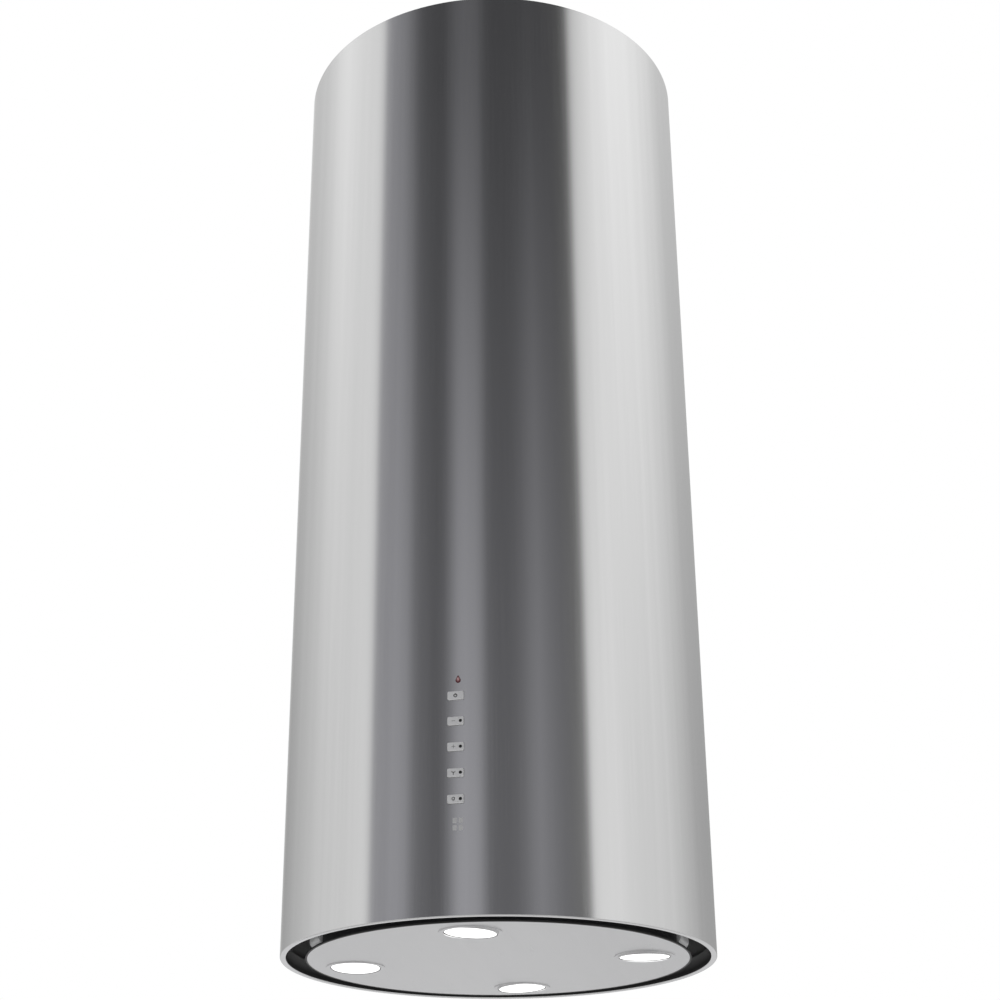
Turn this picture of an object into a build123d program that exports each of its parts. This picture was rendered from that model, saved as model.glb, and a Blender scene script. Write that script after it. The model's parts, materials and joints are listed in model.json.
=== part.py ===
"""Ceiling-hung island range hood: a plain steel tube with a suction slot round a flush lamp panel.

The frame's origin is the centre of the ceiling plate's upper face. +Z points up into the ceiling, the
keys face -Y, and the tube hangs down along -Z. Lengths are in millimetres. Heights named in this file
are measured upwards from the tube's lower rim, and up() turns one into a z value.
"""

from build123d import *
import math
import os

# ---- Driving dimensions -------------------------------------------------------------------------
height = 900.0  # ceiling to lower rim
radius = 190.0  # outside of the tube
sheet = 1.0  # tube wall
rim_width = 5.25  # folded rim, seen from below
rim_height = 14.0  # how far the fold runs back up inside

panel_radius = 167.75
panel_thickness = 1.2
pan_radius = 164.0
pan_sheet = 0.8
pan_top = 26.0

lamp_circle = 128.2  # lamp centres from the axis
lamp_flange_radius = 26.0
lamp_hole_radius = 23.5
lens_radius = 22.2
lens_thickness = 2.0
lens_drop = 0.7  # how far the middle of a lens stands below the panel
lens_lean = 3.1  # degrees, so that each lamp throws its light a little to one side

key_pitch = 21.8
key_middle = 137.2  # height of the third key
key_count = 5
key_width, key_height = 13.4, 7.1
key_proud = 1.5
key_travel = 1.0
key_gap = 0.3
led_offset = 4.2  # light pipe from the middle of a key
led_radius = 1.4
warning_height = 195.2
warning_offset = 2.0
drop_radius, drop_point_radius = 2.1, 0.4
drop_low, drop_high = -1.1, 2.7  # centres of the drop's two rounds, from warning_height

deck_height = 72.0
deck_radius = 186.5
deck_sheet = 1.2
filter_size = (250.0, 210.0)
filter_height = 61.0
filter_depth = 10.0

drum_radius = 150.0
drum_top = 372.0
wheel_radius = 62.0
wheel_half_width = 42.5
wheel_y, wheel_height = -42.0, 185.0
volute_half_width = 50.0
outlet_middle, outlet_depth = 9.5, 89.0  # where the scroll's outlet meets the drum's top, along Y
shaft_radius = 4.0
motor_radius = 34.0

spigot_radius = 74.75
spigot_wall = 2.0
spigot_top = 440.0
flap_axis_height = 394.0
flap_pin_offset = 4.0
flap_pin_radius = 1.5
flap_clearance = 0.06

hinge_y, hinge_height = 172.0, 6.0
hinge_pin_radius = 2.0

leg_corner = 120.0  # outer corner of the upper legs
leg_size, leg_sheet = 20.0, 1.5
leg_overlap = (600.0, 660.0)
leg_bolt_heights = (612.5, 637.5)
leg_hole_step = 25.0
brace_height = 640.0

bolt_circle = 150.0
bolt_hole_radius = 4.5
duct_hole_radius = 84.0
gland_x, gland_y = -35.0, 140.0
lamp_lead_angle, lamp_lead_radius = 199.0, 160.0

inner_face = 188.4  # radius of the lugs and brackets that stand against the tube's inside
bracket_angles = (-30.0, 90.0, 210.0)  # deck brackets on the tube's inside
bracket_depth = 16.0
bracket_screw_place = inner_face - bracket_depth / 2 - 1
lug_angles = (25.0, 90.0, 155.0)  # ceiling plate lugs, on the sides and the back
lug_screw_height = 885.0
m4_radius, m4_tapped = 2.0, 1.65

lamp_sides = ("front", "right", "back", "left")


def up(h):
    """z of a height above the lower rim."""
    return h - height


def write(piece, name):
    """Labels one finished piece and writes its STEP file."""
    piece.part.label = name
    export_step(piece.part, f"parts/{name}.step")


def key_heights():
    """Heights of the keys, highest first."""
    middle = (key_count - 1) / 2
    return [key_middle + (middle - i) * key_pitch for i in range(key_count)]


def radial_holes(hole_radius, angles, h, at_radius, depth):
    """Cuts a round radial hole at each angle from the part being built."""
    for angle in angles:
        with Locations(Location((0, 0, up(h)), (0, 0, angle))):
            with Locations((at_radius, 0, 0)):
                Cylinder(hole_radius, depth, rotation=(0, 90, 0), mode=Mode.SUBTRACT)


# ---- Tube and its fixings -----------------------------------------------------------------------
def warning_drop(grow):
    """Adds the warning light's outline to the open sketch: a drop with its point upwards."""
    with Locations((warning_offset, up(warning_height + drop_low))):
        Circle(drop_radius + grow)
    with Locations((warning_offset, up(warning_height + drop_high))):
        Circle(drop_point_radius + grow)
    make_hull()


def outer_shell():
    """Rolled tube, with its lower edge folded in and back up, and a fine welded seam at the back."""
    seam_width, seam_depth = 0.8, 0.3
    with BuildPart() as shell:
        with BuildSketch(Plane.XZ):
            with Locations((radius - sheet, up(0))):
                Rectangle(sheet, height, align=(Align.MIN, Align.MIN))
            with Locations((radius - rim_width, up(0))):
                Rectangle(rim_width, sheet, align=(Align.MIN, Align.MIN))
                Rectangle(sheet, rim_height, align=(Align.MIN, Align.MIN))
        revolve(axis=Axis.Z)
        fillet(shell.edges().filter_by(GeomType.CIRCLE).group_by(Axis.Z)[0], sheet * 0.9)
        with BuildSketch(Plane.XZ.offset(radius - 2 * sheet)):
            with Locations(*[(0, up(h)) for h in key_heights()]):
                RectangleRounded(key_width + 2 * key_gap, key_height + 2 * key_gap, 1.4)
        extrude(amount=4 * sheet, mode=Mode.SUBTRACT)
        with BuildSketch(Plane.XZ.offset(radius - 2 * sheet)):
            warning_drop(0.15)
        extrude(amount=4 * sheet, mode=Mode.SUBTRACT)
        radial_holes(m4_radius + 0.2, lug_angles, lug_screw_height, radius - sheet, 6)
        with Locations((0, radius, up(height / 2))):
            Box(seam_width, 2 * seam_depth, height, mode=Mode.SUBTRACT)
    write(shell, "outer_shell")


def ceiling_plate():
    """Round plate that is bolted to the ceiling, with lugs for the tube's screws."""
    plate_radius, plate_sheet = 182.0, 3.0
    lug_sheet, lug_width, lug_drop = 2.0, 20.0, 28.0
    with BuildPart() as plate:
        with BuildSketch(Plane.XY):
            Circle(plate_radius)
            for angle in lug_angles:
                with Locations(Location((0, 0, 0), (0, 0, angle))):
                    with Locations((inner_face, 0)):
                        Rectangle(20, lug_width, align=(Align.MAX, Align.CENTER))
            Circle(duct_hole_radius, mode=Mode.SUBTRACT)
            with PolarLocations(bolt_circle, 4, start_angle=45):
                Circle(bolt_hole_radius, mode=Mode.SUBTRACT)
            with Locations((gland_x, gland_y)):
                Circle(14, mode=Mode.SUBTRACT)
        extrude(amount=-plate_sheet)
        for angle in lug_angles:
            with Locations(Location((0, 0, 0), (0, 0, angle))):
                with Locations((inner_face, 0, 0)):
                    Box(lug_sheet, lug_width, lug_drop, align=(Align.MAX, Align.CENTER, Align.MAX))
        radial_holes(m4_tapped, lug_angles, lug_screw_height, inner_face, 6)
    write(plate, "ceiling_plate")


def leg_set(name, corner, low, high, holes, foot_high):
    """Four angle-section legs with a row of adjusting holes, and a foot turned in at one end."""
    hole_radius = 2.7
    length = high - low
    with BuildPart() as legs:
        with BuildSketch(Plane.XY.offset(up(low))):
            with Locations((corner, corner)):
                Rectangle(leg_size, leg_size, align=(Align.MAX, Align.MAX))
            with Locations((corner - leg_sheet, corner - leg_sheet)):
                Rectangle(leg_size, leg_size, align=(Align.MAX, Align.MAX), mode=Mode.SUBTRACT)
        extrude(amount=length)
        foot = high - leg_sheet if foot_high else low
        with Locations((corner, corner, up(foot))):
            Box(leg_size, leg_size, leg_sheet, align=(Align.MAX, Align.MAX, Align.MIN))
        with BuildSketch(Plane.XZ.offset(-corner - 1)):
            with Locations(*[(leg_corner - leg_size / 2, up(h)) for h in holes]):
                Circle(hole_radius)
        extrude(amount=leg_sheet + 2, mode=Mode.SUBTRACT)
        if not foot_high:
            with Locations((0, 0, up(low))):
                Cylinder(drum_radius + 4, 12, mode=Mode.SUBTRACT)
        mirror(about=Plane.YZ)
        mirror(about=Plane.XZ)
    write(legs, name)


def frame_brace():
    """Square plate that ties the legs and lets the duct through."""
    half = leg_corner - 2 * leg_sheet - 0.1
    with BuildPart() as brace:
        with BuildSketch(Plane.XY.offset(up(brace_height))):
            RectangleRounded(2 * half, 2 * half, 3)
            Circle(duct_hole_radius, mode=Mode.SUBTRACT)
            with GridLocations(2 * half - 22, 2 * half - 22, 2, 2):
                Circle(m4_radius + 0.2, mode=Mode.SUBTRACT)
        extrude(amount=leg_sheet)
        with BuildSketch(Plane.XY.offset(up(brace_height))):
            Rectangle(2 * half, 2 * (half - 24))
            Rectangle(2 * (half - leg_sheet), 2 * half, mode=Mode.SUBTRACT)
        extrude(amount=-12)
    write(brace, "frame_brace")


def frame_bolts():
    """Hexagon bolts that clamp the upper legs to the lower ones, two to a leg."""
    face, head, shank = leg_corner, 3.5, 2.5
    with BuildPart() as bolts:
        for h in leg_bolt_heights:
            with Locations((leg_corner - leg_size / 2, face, up(h))):
                Cylinder(shank, 9, rotation=(90, 0, 0), align=(Align.CENTER, Align.CENTER, Align.MIN))
            with BuildSketch(Plane.XZ.offset(-face)):
                with Locations((leg_corner - leg_size / 2, up(h))):
                    RegularPolygon(4.6, 6)
            extrude(amount=-head)
        mirror(about=Plane.YZ)
        mirror(about=Plane.XZ)
    write(bolts, "frame_bolts")


def shell_brackets():
    """Angle brackets spot-welded inside the tube; the deck is screwed down on their shelves."""
    width, drop = 24.0, 26.0
    with BuildPart() as brackets:
        for angle in bracket_angles:
            with Locations(Location((0, 0, up(deck_height)), (0, 0, angle))):
                with Locations((inner_face, 0, 0)):
                    Box(bracket_depth, width, leg_sheet, align=(Align.MAX, Align.CENTER, Align.MAX))
                    Box(leg_sheet, width, drop, align=(Align.MAX, Align.CENTER, Align.MAX))
                with Locations((bracket_screw_place, 0, 0)):
                    Cylinder(m4_radius + 0.2, 20, mode=Mode.SUBTRACT)
    write(brackets, "shell_brackets")


def m4_screws():
    """Pan-head screws: three through the tube into the ceiling plate, three up through the brackets."""
    head_radius, head_height, length = 3.8, 2.2, 8.0
    with BuildPart() as screws:
        for angle in lug_angles:
            with Locations(Location((0, 0, up(lug_screw_height)), (0, 0, angle))):
                with Locations((radius, 0, 0)):
                    Cylinder(head_radius, head_height, rotation=(0, 90, 0),
                             align=(Align.CENTER, Align.CENTER, Align.MIN))
                    Cylinder(m4_tapped, length, rotation=(0, -90, 0),
                             align=(Align.CENTER, Align.CENTER, Align.MIN))
        for angle in bracket_angles:
            with Locations(Location((0, 0, up(deck_height - leg_sheet)), (0, 0, angle))):
                with Locations((bracket_screw_place, 0, 0)):
                    Cylinder(head_radius, head_height, align=(Align.CENTER, Align.CENTER, Align.MAX))
                    Cylinder(m4_tapped, length, align=(Align.CENTER, Align.CENTER, Align.MIN))
        circles = screws.edges().filter_by(GeomType.CIRCLE)
        rims = circles.filter_by(lambda e: abs(e.radius - head_radius) < 0.01)
        low = rims.filter_by(lambda e: abs(e.center().Z - up(deck_height - leg_sheet - head_height)) < 0.01)
        reach = radius + head_height
        outer = rims.filter_by(lambda e: math.hypot(e.center().X, e.center().Y) > reach - 0.01)
        fillet(low + outer, 1.0)
    write(screws, "m4_screws")


# ---- Deck and grease filter ---------------------------------------------------------------------
def deck_plate():
    """Floor of the blower space: a round plate with an upturned rim and an opening over the filter."""
    opening = (226.0, 186.0)
    keeper_y = filter_size[1] / 2 + 3
    rear_y = filter_size[1] / 2 + 1.5
    with BuildPart() as deck:
        with BuildSketch(Plane.XY.offset(up(deck_height))):
            Circle(deck_radius)
            Rectangle(*opening, mode=Mode.SUBTRACT)
        extrude(amount=deck_sheet)
        with BuildSketch(Plane.XY.offset(up(deck_height))):
            Circle(deck_radius)
            Circle(deck_radius - deck_sheet, mode=Mode.SUBTRACT)
            with Locations((0, -deck_radius)):
                Rectangle(56, 20, mode=Mode.SUBTRACT)
        extrude(amount=16)
        for angle in bracket_angles:
            with Locations(Location((0, 0, up(deck_height)), (0, 0, angle))):
                with Locations((bracket_screw_place, 0, 0)):
                    Cylinder(m4_tapped, 4, mode=Mode.SUBTRACT)
        with Locations(Location((0, 0, up(deck_height)), (0, 0, lamp_lead_angle))):
            with Locations((lamp_lead_radius, 0, 0)):
                Cylinder(3.2, 4, mode=Mode.SUBTRACT)
        with Locations((0, -keeper_y, up(deck_height))):
            Box(30, 2, 12, align=(Align.CENTER, Align.MAX, Align.MAX))
        with Locations((0, -keeper_y, up(filter_height + 3.5))):
            Box(17, 8, 4, mode=Mode.SUBTRACT)
        with Locations((-70, rear_y, up(deck_height)), (70, rear_y, up(deck_height))):
            Box(20, 1.5, 13.2, align=(Align.CENTER, Align.MIN, Align.MAX))
        with Locations((-70, rear_y, up(deck_height - 12)), (70, rear_y, up(deck_height - 12))):
            Box(20, 8, 1.2, align=(Align.CENTER, Align.MAX, Align.MAX))
    write(deck, "deck_plate")


def filter_frame():
    """Aluminium channel frame of the grease filter, with a pocket for its latch."""
    w, d = filter_size
    rail, wall, pocket_w, pocket_d = 12.0, 1.0, 54.0, 34.0
    z = up(filter_height)
    with BuildPart() as frame:
        with BuildSketch(Plane.XY.offset(z)):
            RectangleRounded(w, d, 6)
            Rectangle(w - 2 * rail, d - 2 * rail, mode=Mode.SUBTRACT)
        extrude(amount=filter_depth)
        with BuildSketch(Plane.XY.offset(z + wall)):
            Rectangle(w - 2 * wall - 4, d - 2 * wall - 4)
            Rectangle(w - 2 * rail, d - 2 * rail, mode=Mode.SUBTRACT)
        extrude(amount=filter_depth - 2 * wall, mode=Mode.SUBTRACT)
        with Locations((0, -d / 2, z)):
            Box(pocket_w, pocket_d, filter_depth, align=(Align.CENTER, Align.MIN, Align.MIN))
        with Locations((0, -d / 2 + 2, z)):
            Box(pocket_w - 14, pocket_d - 4, 3, align=(Align.CENTER, Align.MIN, Align.MIN),
                mode=Mode.SUBTRACT)
            with Locations((0, 0, wall)):
                Box(pocket_w - 4, pocket_d - 4, 5.2, align=(Align.CENTER, Align.MIN, Align.MIN),
                    mode=Mode.SUBTRACT)
        with Locations((0, -d / 2, z + 3.5)):
            Box(17, 8, 4, mode=Mode.SUBTRACT)
    write(frame, "filter_frame")


def filter_mesh():
    """Stack of expanded aluminium layers, held in the frame's channel."""
    w, d = filter_size
    with BuildPart() as mesh:
        with BuildSketch(Plane.XY.offset(up(filter_height + 3))):
            Rectangle(w - 12, d - 12)
            with Locations((0, -d / 2)):
                Rectangle(56, 70, mode=Mode.SUBTRACT)
        extrude(amount=filter_depth - 6)
    write(mesh, "filter_mesh")


def filter_latch():
    """Sprung slider: its tongue holds the filter's front edge in the deck's keeper."""
    d = filter_size[1]
    z = up(filter_height)
    with BuildPart() as latch:
        with Locations((0, -d / 2 + 2.4, z + 1.2)):
            Box(47, 19, 4.4, align=(Align.CENTER, Align.MIN, Align.MIN))
        with Locations((0, -d / 2 - 4.5, z + 2.2)):
            Box(16, 8, 2.8, align=(Align.CENTER, Align.MIN, Align.MIN))
        with BuildSketch(Plane.YZ.offset(-15)):
            with BuildLine():
                Polyline((-d / 2 + 6, z + 1.8), (-d / 2 + 6, z + 0.3), (-d / 2 + 18, z - 3.5),
                         (-d / 2 + 19.5, z - 3.5), (-d / 2 + 19.5, z + 1.8), close=True)
            make_face()
        extrude(amount=30)
    write(latch, "filter_latch")


def coil(radius_mm, wire, pitch, length):
    """Centreline helix and wire section of a small compression spring, along local +Z."""
    with BuildPart() as spring:
        with BuildLine():
            path = Helix(pitch=pitch, height=length, radius=radius_mm)
        with BuildSketch(Plane(origin=path @ 0, z_dir=path % 0)):
            Circle(wire)
        sweep()
    return spring.part


def filter_latch_spring():
    """Coil spring that pushes the latch's tongue into its keeper."""
    d = filter_size[1]
    wire = 0.4
    start = Location((0, -d / 2 + 21.9, up(filter_height + 3.5)), (-90, 0, 0))
    shape = coil(2.0, wire, 2.4, 9.0)
    with BuildPart() as spring:
        add(start * shape)
    write(spring, "filter_latch_spring")


# ---- Blower -------------------------------------------------------------------------------------
def blower_drum():
    """Steel drum round the blower, open to the filter below, with the outlet's opening on top."""
    flange = 3.0
    with BuildPart() as drum:
        with BuildSketch(Plane.XZ):
            with Locations((drum_radius - sheet, up(deck_height + deck_sheet))):
                Rectangle(sheet, drum_top - deck_height - deck_sheet, align=(Align.MIN, Align.MIN))
                Rectangle(sheet + flange, sheet, align=(Align.MIN, Align.MIN))
            with Locations((60, up(drum_top))):
                Rectangle(drum_radius - 60, sheet, align=(Align.MIN, Align.MAX))
        revolve(axis=Axis.Z)
        with BuildSketch(Plane.XY.offset(up(drum_top))):
            Circle(80)
            with Locations((0, outlet_middle)):
                Rectangle(2 * volute_half_width - 4, outlet_depth, mode=Mode.SUBTRACT)
        extrude(amount=-sheet)
    write(drum, "blower_drum")


def scroll_outline(inset):
    """Closed outline of the scroll and its outlet duct, in the YZ plane, moved in by inset."""
    start_radius, growth = 70.0, 28.0
    duct_left, duct_right = -37.0 + inset, 56.0 - inset
    centre_z = up(wheel_height)
    top = up(drum_top - sheet)
    spiral = []
    for step in range(10):
        turn = math.radians(30 * step)
        r = start_radius + growth * step / 9 - inset
        spiral.append((wheel_y - r * math.sin(turn), centre_z + r * math.cos(turn)))
    Spline(*spiral, tangents=[(-1, 0), (0, 1)])
    Polyline(spiral[-1], (duct_right, top), (duct_left, top), (duct_left, centre_z + start_radius + 8))
    Line((duct_left, centre_z + start_radius + 8), spiral[0])


def volute_half(name, side):
    """One half of the blower housing: a side plate with its inlet, and half of the scroll's wall."""
    wall, inlet_radius = 2.0, 52.0
    with BuildPart() as half:
        with BuildSketch(Plane.YZ):
            with BuildLine():
                scroll_outline(0)
            make_face()
        extrude(amount=side * volute_half_width)
        with BuildSketch(Plane.YZ):
            with BuildLine():
                scroll_outline(wall)
            make_face()
        extrude(amount=side * (volute_half_width - wall), mode=Mode.SUBTRACT)
        with BuildSketch(Plane.XY.offset(up(drum_top))):
            with Locations((side * (volute_half_width - wall), outlet_middle)):
                corner = Align.MAX if side > 0 else Align.MIN
                Rectangle(volute_half_width - wall, outlet_depth, align=(corner, Align.CENTER))
        extrude(amount=-30, mode=Mode.SUBTRACT)
        with BuildSketch(Plane.YZ.offset(side * (volute_half_width - wall - 4))):
            with Locations((wheel_y, up(wheel_height))):
                Circle(inlet_radius + wall)
        extrude(amount=side * (wall + 7))
        with BuildSketch(Plane.YZ.offset(side * (volute_half_width - 20))):
            with Locations((wheel_y, up(wheel_height))):
                Circle(inlet_radius)
        extrude(amount=side * 40, mode=Mode.SUBTRACT)
    write(half, name)


def impeller():
    """Double-inlet wheel: a centre disc, two end rings and forward-curved blades on both sides."""
    blades, blade_sheet, blade_in = 36, 1.0, 53.0
    centre = Plane(origin=(0, wheel_y, up(wheel_height)), x_dir=(0, 1, 0), z_dir=(1, 0, 0))
    with BuildPart() as wheel:
        with BuildSketch(centre.offset(-1)):
            Circle(wheel_radius)
        extrude(amount=2)
        with BuildSketch(centre.offset(-8)):
            Circle(10)
        extrude(amount=14)
        for edge in (-wheel_half_width, wheel_half_width - 2):
            with BuildSketch(centre.offset(edge)):
                Circle(wheel_radius)
                Circle(wheel_radius - 7, mode=Mode.SUBTRACT)
            extrude(amount=2)
        with BuildSketch(centre.offset(-wheel_half_width)):
            with PolarLocations(0, blades):
                with BuildLine():
                    tip, belly = wheel_radius - 0.5, wheel_radius - 5
                    outer = ThreePointArc((tip, 0), (belly, -1.6), (blade_in, -0.6))
                    inner = ThreePointArc((blade_in, blade_sheet - 0.6), (belly, blade_sheet - 1.6),
                                          (tip, blade_sheet))
                    Line(outer @ 1, inner @ 0)
                    Line(inner @ 1, outer @ 0)
                make_face()
        extrude(amount=2 * wheel_half_width)
        with Locations(Location((0, wheel_y, up(wheel_height)), (0, 90, 0))):
            Cylinder(shaft_radius, 60, mode=Mode.SUBTRACT)
    write(wheel, "impeller")


def motor_shaft():
    """Steel shaft that carries the impeller."""
    with BuildPart() as shaft:
        with Locations(Location((-12, wheel_y, up(wheel_height)), (0, 90, 0))):
            Cylinder(shaft_radius, 86, align=(Align.CENTER, Align.CENTER, Align.MIN))
        chamfer(shaft.edges().filter_by(GeomType.CIRCLE), 0.6)
    write(shaft, "motor_shaft")


def motor():
    """Capacitor motor that sits in the wheel's right-hand inlet."""
    first, last = 9.0, 66.0
    with BuildPart() as can:
        with Locations(Location((first, wheel_y, up(wheel_height)), (0, 90, 0))):
            Cylinder(motor_radius, last - first, align=(Align.CENTER, Align.CENTER, Align.MIN))
        fillet(can.edges().filter_by(GeomType.CIRCLE), 4)
        with Locations(Location((last, wheel_y, up(wheel_height)), (0, 90, 0))):
            Cylinder(9, 4, align=(Align.CENTER, Align.CENTER, Align.MIN))
        with Locations(Location((0, wheel_y, up(wheel_height)), (0, 90, 0))):
            Cylinder(shaft_radius + 0.05, 180, mode=Mode.SUBTRACT)
    write(can, "motor")


def motor_mount():
    """Band round the motor with three arms, screwed to the right-hand inlet."""
    x_plane = Plane((volute_half_width + 5, wheel_y, up(wheel_height)), x_dir=(0, 1, 0), z_dir=(1, 0, 0))
    with BuildPart() as mount:
        with BuildSketch(x_plane):
            with PolarLocations(0, 3, start_angle=90):
                with Locations((motor_radius + 1, 0)):
                    Rectangle(31, 12, align=(Align.MIN, Align.CENTER))
            Circle(motor_radius + 2.5)
            Circle(motor_radius, mode=Mode.SUBTRACT)
            with PolarLocations(60, 3, start_angle=90):
                Circle(2.2, mode=Mode.SUBTRACT)
        extrude(amount=2)
        with BuildSketch(x_plane):
            Circle(motor_radius + 2.5)
            Circle(motor_radius, mode=Mode.SUBTRACT)
        extrude(amount=8)
    write(mount, "motor_mount")


# ---- Outlet -------------------------------------------------------------------------------------
def flap_pin_places():
    """Places of the flaps' two pins, which lie along X."""
    return [Location((0, side * flap_pin_offset, up(flap_axis_height)), (0, 90, 0)) for side in (-1, 1)]


def outlet_collar():
    """Spigot for the exhaust duct, with a ledge and a cross bar that the two closed flaps lie on."""
    inner, ledge, ledge_sheet, bar_width = spigot_radius - spigot_wall, 3.5, 2.0, 14.0
    ledge_height = flap_axis_height - 4
    with BuildPart() as collar:
        with BuildSketch(Plane.XZ):
            with Locations((inner, up(drum_top))):
                Rectangle(20, 2.5, align=(Align.MIN, Align.MIN))
                Rectangle(spigot_wall, spigot_top - drum_top, align=(Align.MIN, Align.MIN))
            with Locations((inner, up(ledge_height))):
                Rectangle(ledge, ledge_sheet, align=(Align.MAX, Align.MAX))
        revolve(axis=Axis.Z)
        with Locations((0, 0, up(ledge_height))):
            Box(2 * inner - ledge, bar_width, ledge_sheet, align=(Align.CENTER, Align.CENTER, Align.MAX))
        with Locations((0, 0, up(drum_top))):
            with PolarLocations(84, 4, start_angle=45):
                Cylinder(m4_radius + 0.2, 12, mode=Mode.SUBTRACT)
        with Locations(*flap_pin_places()):
            Cylinder(flap_pin_radius + 0.05, 2 * spigot_radius + 4, mode=Mode.SUBTRACT)
        top_edges = collar.edges().filter_by(GeomType.CIRCLE).group_by(Axis.Z)[-1]
        chamfer(top_edges.sort_by(SortBy.RADIUS)[-1], 0.8)
    write(collar, "outlet_collar")


def flap_pin():
    """Two steel wire pins across the collar, one for each flap."""
    with BuildPart() as pin:
        with Locations(*flap_pin_places()):
            Cylinder(flap_pin_radius, 2 * spigot_radius - 1)
    write(pin, "flap_pin")


def flap(name, side):
    """Half-round non-return flap with two knuckles, at the front for side -1 and at the back for side 1."""
    plate, low, edge = 1.2, flap_axis_height - 3.8, spigot_radius - spigot_wall - 1
    knuckle_radius, knuckle_length, knuckle_starts = 3.0, 20.0, (-60.0, 40.0)
    web, web_height = 2.4, 2.2
    straight_edge = side * (flap_pin_offset - 0.5)
    with BuildPart() as leaf:
        with BuildSketch(Plane.XY.offset(up(low))):
            Circle(edge)
            with Locations((0, straight_edge)):
                Rectangle(2 * edge, 2 * edge, align=(Align.CENTER, Align.MAX if side > 0 else Align.MIN),
                          mode=Mode.SUBTRACT)
        extrude(amount=plate)
        for start in knuckle_starts:
            with Locations(Location((start, side * flap_pin_offset, up(flap_axis_height)), (0, 90, 0))):
                Cylinder(knuckle_radius, knuckle_length, align=(Align.CENTER, Align.CENTER, Align.MIN))
            with Locations((start, straight_edge, up(low))):
                Box(knuckle_length, web, web_height,
                    align=(Align.MIN, Align.MIN if side > 0 else Align.MAX, Align.MIN))
        with Locations(Location((0, side * flap_pin_offset, up(flap_axis_height)), (0, 90, 0))):
            Cylinder(flap_pin_radius + flap_clearance, 4 * edge, mode=Mode.SUBTRACT)
    write(leaf, name)


# ---- Electronics --------------------------------------------------------------------------------
box_half_width, box_front, box_back, box_low, box_high = 58.0, 120.0, 160.0, 392.0, 486.0
box_sheet = 1.2


def electronics_box():
    """Open-backed steel box on a plate that bridges the two rear legs."""
    with BuildPart() as box:
        with Locations((0, leg_corner - leg_sheet, up(box_low - 8))):
            Box(216, leg_sheet, box_high - box_low + 16, align=(Align.CENTER, Align.MIN, Align.MIN))
        with Locations((0, box_front, up(box_low))):
            Box(2 * box_half_width, box_back - box_front, box_high - box_low,
                align=(Align.CENTER, Align.MIN, Align.MIN))
            with Locations((0, box_sheet, box_sheet)):
                Box(2 * (box_half_width - box_sheet), box_back, box_high - box_low - 2 * box_sheet,
                    align=(Align.CENTER, Align.MIN, Align.MIN), mode=Mode.SUBTRACT)
        with Locations((gland_x, gland_y, up(box_high))):
            Cylinder(7.1, 8, mode=Mode.SUBTRACT)
    write(box, "electronics_box")


def electronics_lid():
    """Lid with cooling slots, over the box's open back."""
    with BuildPart() as lid:
        with BuildSketch(Plane.XZ.offset(-box_back)):
            with Locations((0, up((box_low + box_high) / 2))):
                RectangleRounded(2 * box_half_width, box_high - box_low, 2)
                with GridLocations(0, 8, 1, 6):
                    SlotOverall(60, 3, mode=Mode.SUBTRACT)
        extrude(amount=-box_sheet)
    write(lid, "electronics_lid")


def power_board():
    """Circuit board with its transformer, relays and fuse."""
    face = box_front + 8
    with BuildPart() as board:
        with Locations((0, face, up(box_low + 6))):
            Box(104, 1.6, 74, align=(Align.CENTER, Align.MIN, Align.MIN))
        with Locations((30, face + 1.6, up(box_low + 12))):
            Box(38, 26, 32, align=(Align.CENTER, Align.MIN, Align.MIN))
        with Locations((-38, face + 1.6, up(box_low + 12)), (-20, face + 1.6, up(box_low + 12)),
                       (-2, face + 1.6, up(box_low + 12))):
            Box(12, 15, 20, align=(Align.CENTER, Align.MIN, Align.MIN))
        with Locations(Location((30, face + 6.2, up(box_low + 60)), (0, 90, 0))):
            Cylinder(5, 22)
        for x, z in ((-48, 10), (48, 10), (-48, 76), (48, 76)):
            with Locations(Location((x, face, up(box_low + z)), (90, 0, 0))):
                Cylinder(2.5, 8 - box_sheet, align=(Align.CENTER, Align.CENTER, Align.MIN))
    write(board, "power_board")


def terminal_block():
    """Three-way screw terminals for the mains supply, beside the cable gland."""
    with BuildPart() as block:
        with Locations((gland_x, box_front + 9.6, up(box_high - 42))):
            Box(34, 18, 14, align=(Align.CENTER, Align.MIN, Align.MIN))
        with BuildSketch(Plane.XY.offset(up(box_high - 28))):
            with Locations((gland_x, box_front + 22)):
                with GridLocations(11, 0, 3, 1):
                    Circle(3)
        extrude(amount=-8, mode=Mode.SUBTRACT)
    write(block, "terminal_block")


def cable_gland():
    """Nylon gland for the supply cable, with its nut inside the box."""
    bore = 4.0
    with BuildPart() as gland:
        with BuildSketch(Plane.XY.offset(up(box_high))):
            with Locations((gland_x, gland_y)):
                RegularPolygon(11, 6)
        extrude(amount=6)
        with Locations((gland_x, gland_y, up(box_high - 9))):
            Cylinder(7, 10, align=(Align.CENTER, Align.CENTER, Align.MIN))
        with Locations((gland_x, gland_y, up(box_high + 6))):
            Cone(9, 6.5, 10, align=(Align.CENTER, Align.CENTER, Align.MIN))
        with BuildSketch(Plane.XY.offset(up(box_high - box_sheet))):
            with Locations((gland_x, gland_y)):
                RegularPolygon(10, 6)
        extrude(amount=-4)
        with Locations((gland_x, gland_y, up(box_high))):
            Cylinder(bore, 60, mode=Mode.SUBTRACT)
    write(gland, "cable_gland")


def capacitor():
    """Motor run capacitor, clipped to the electronics plate."""
    with BuildPart() as can:
        with Locations((84, leg_corner + 15.5, up(box_low + 10))):
            Cylinder(15, 62, align=(Align.CENTER, Align.CENTER, Align.MIN))
        fillet(can.edges().filter_by(GeomType.CIRCLE), 2)
        with Locations((84, leg_corner, up(box_low + 36))):
            Box(12, 6, 10, align=(Align.CENTER, Align.MIN, Align.MIN))
    write(can, "capacitor")


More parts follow.
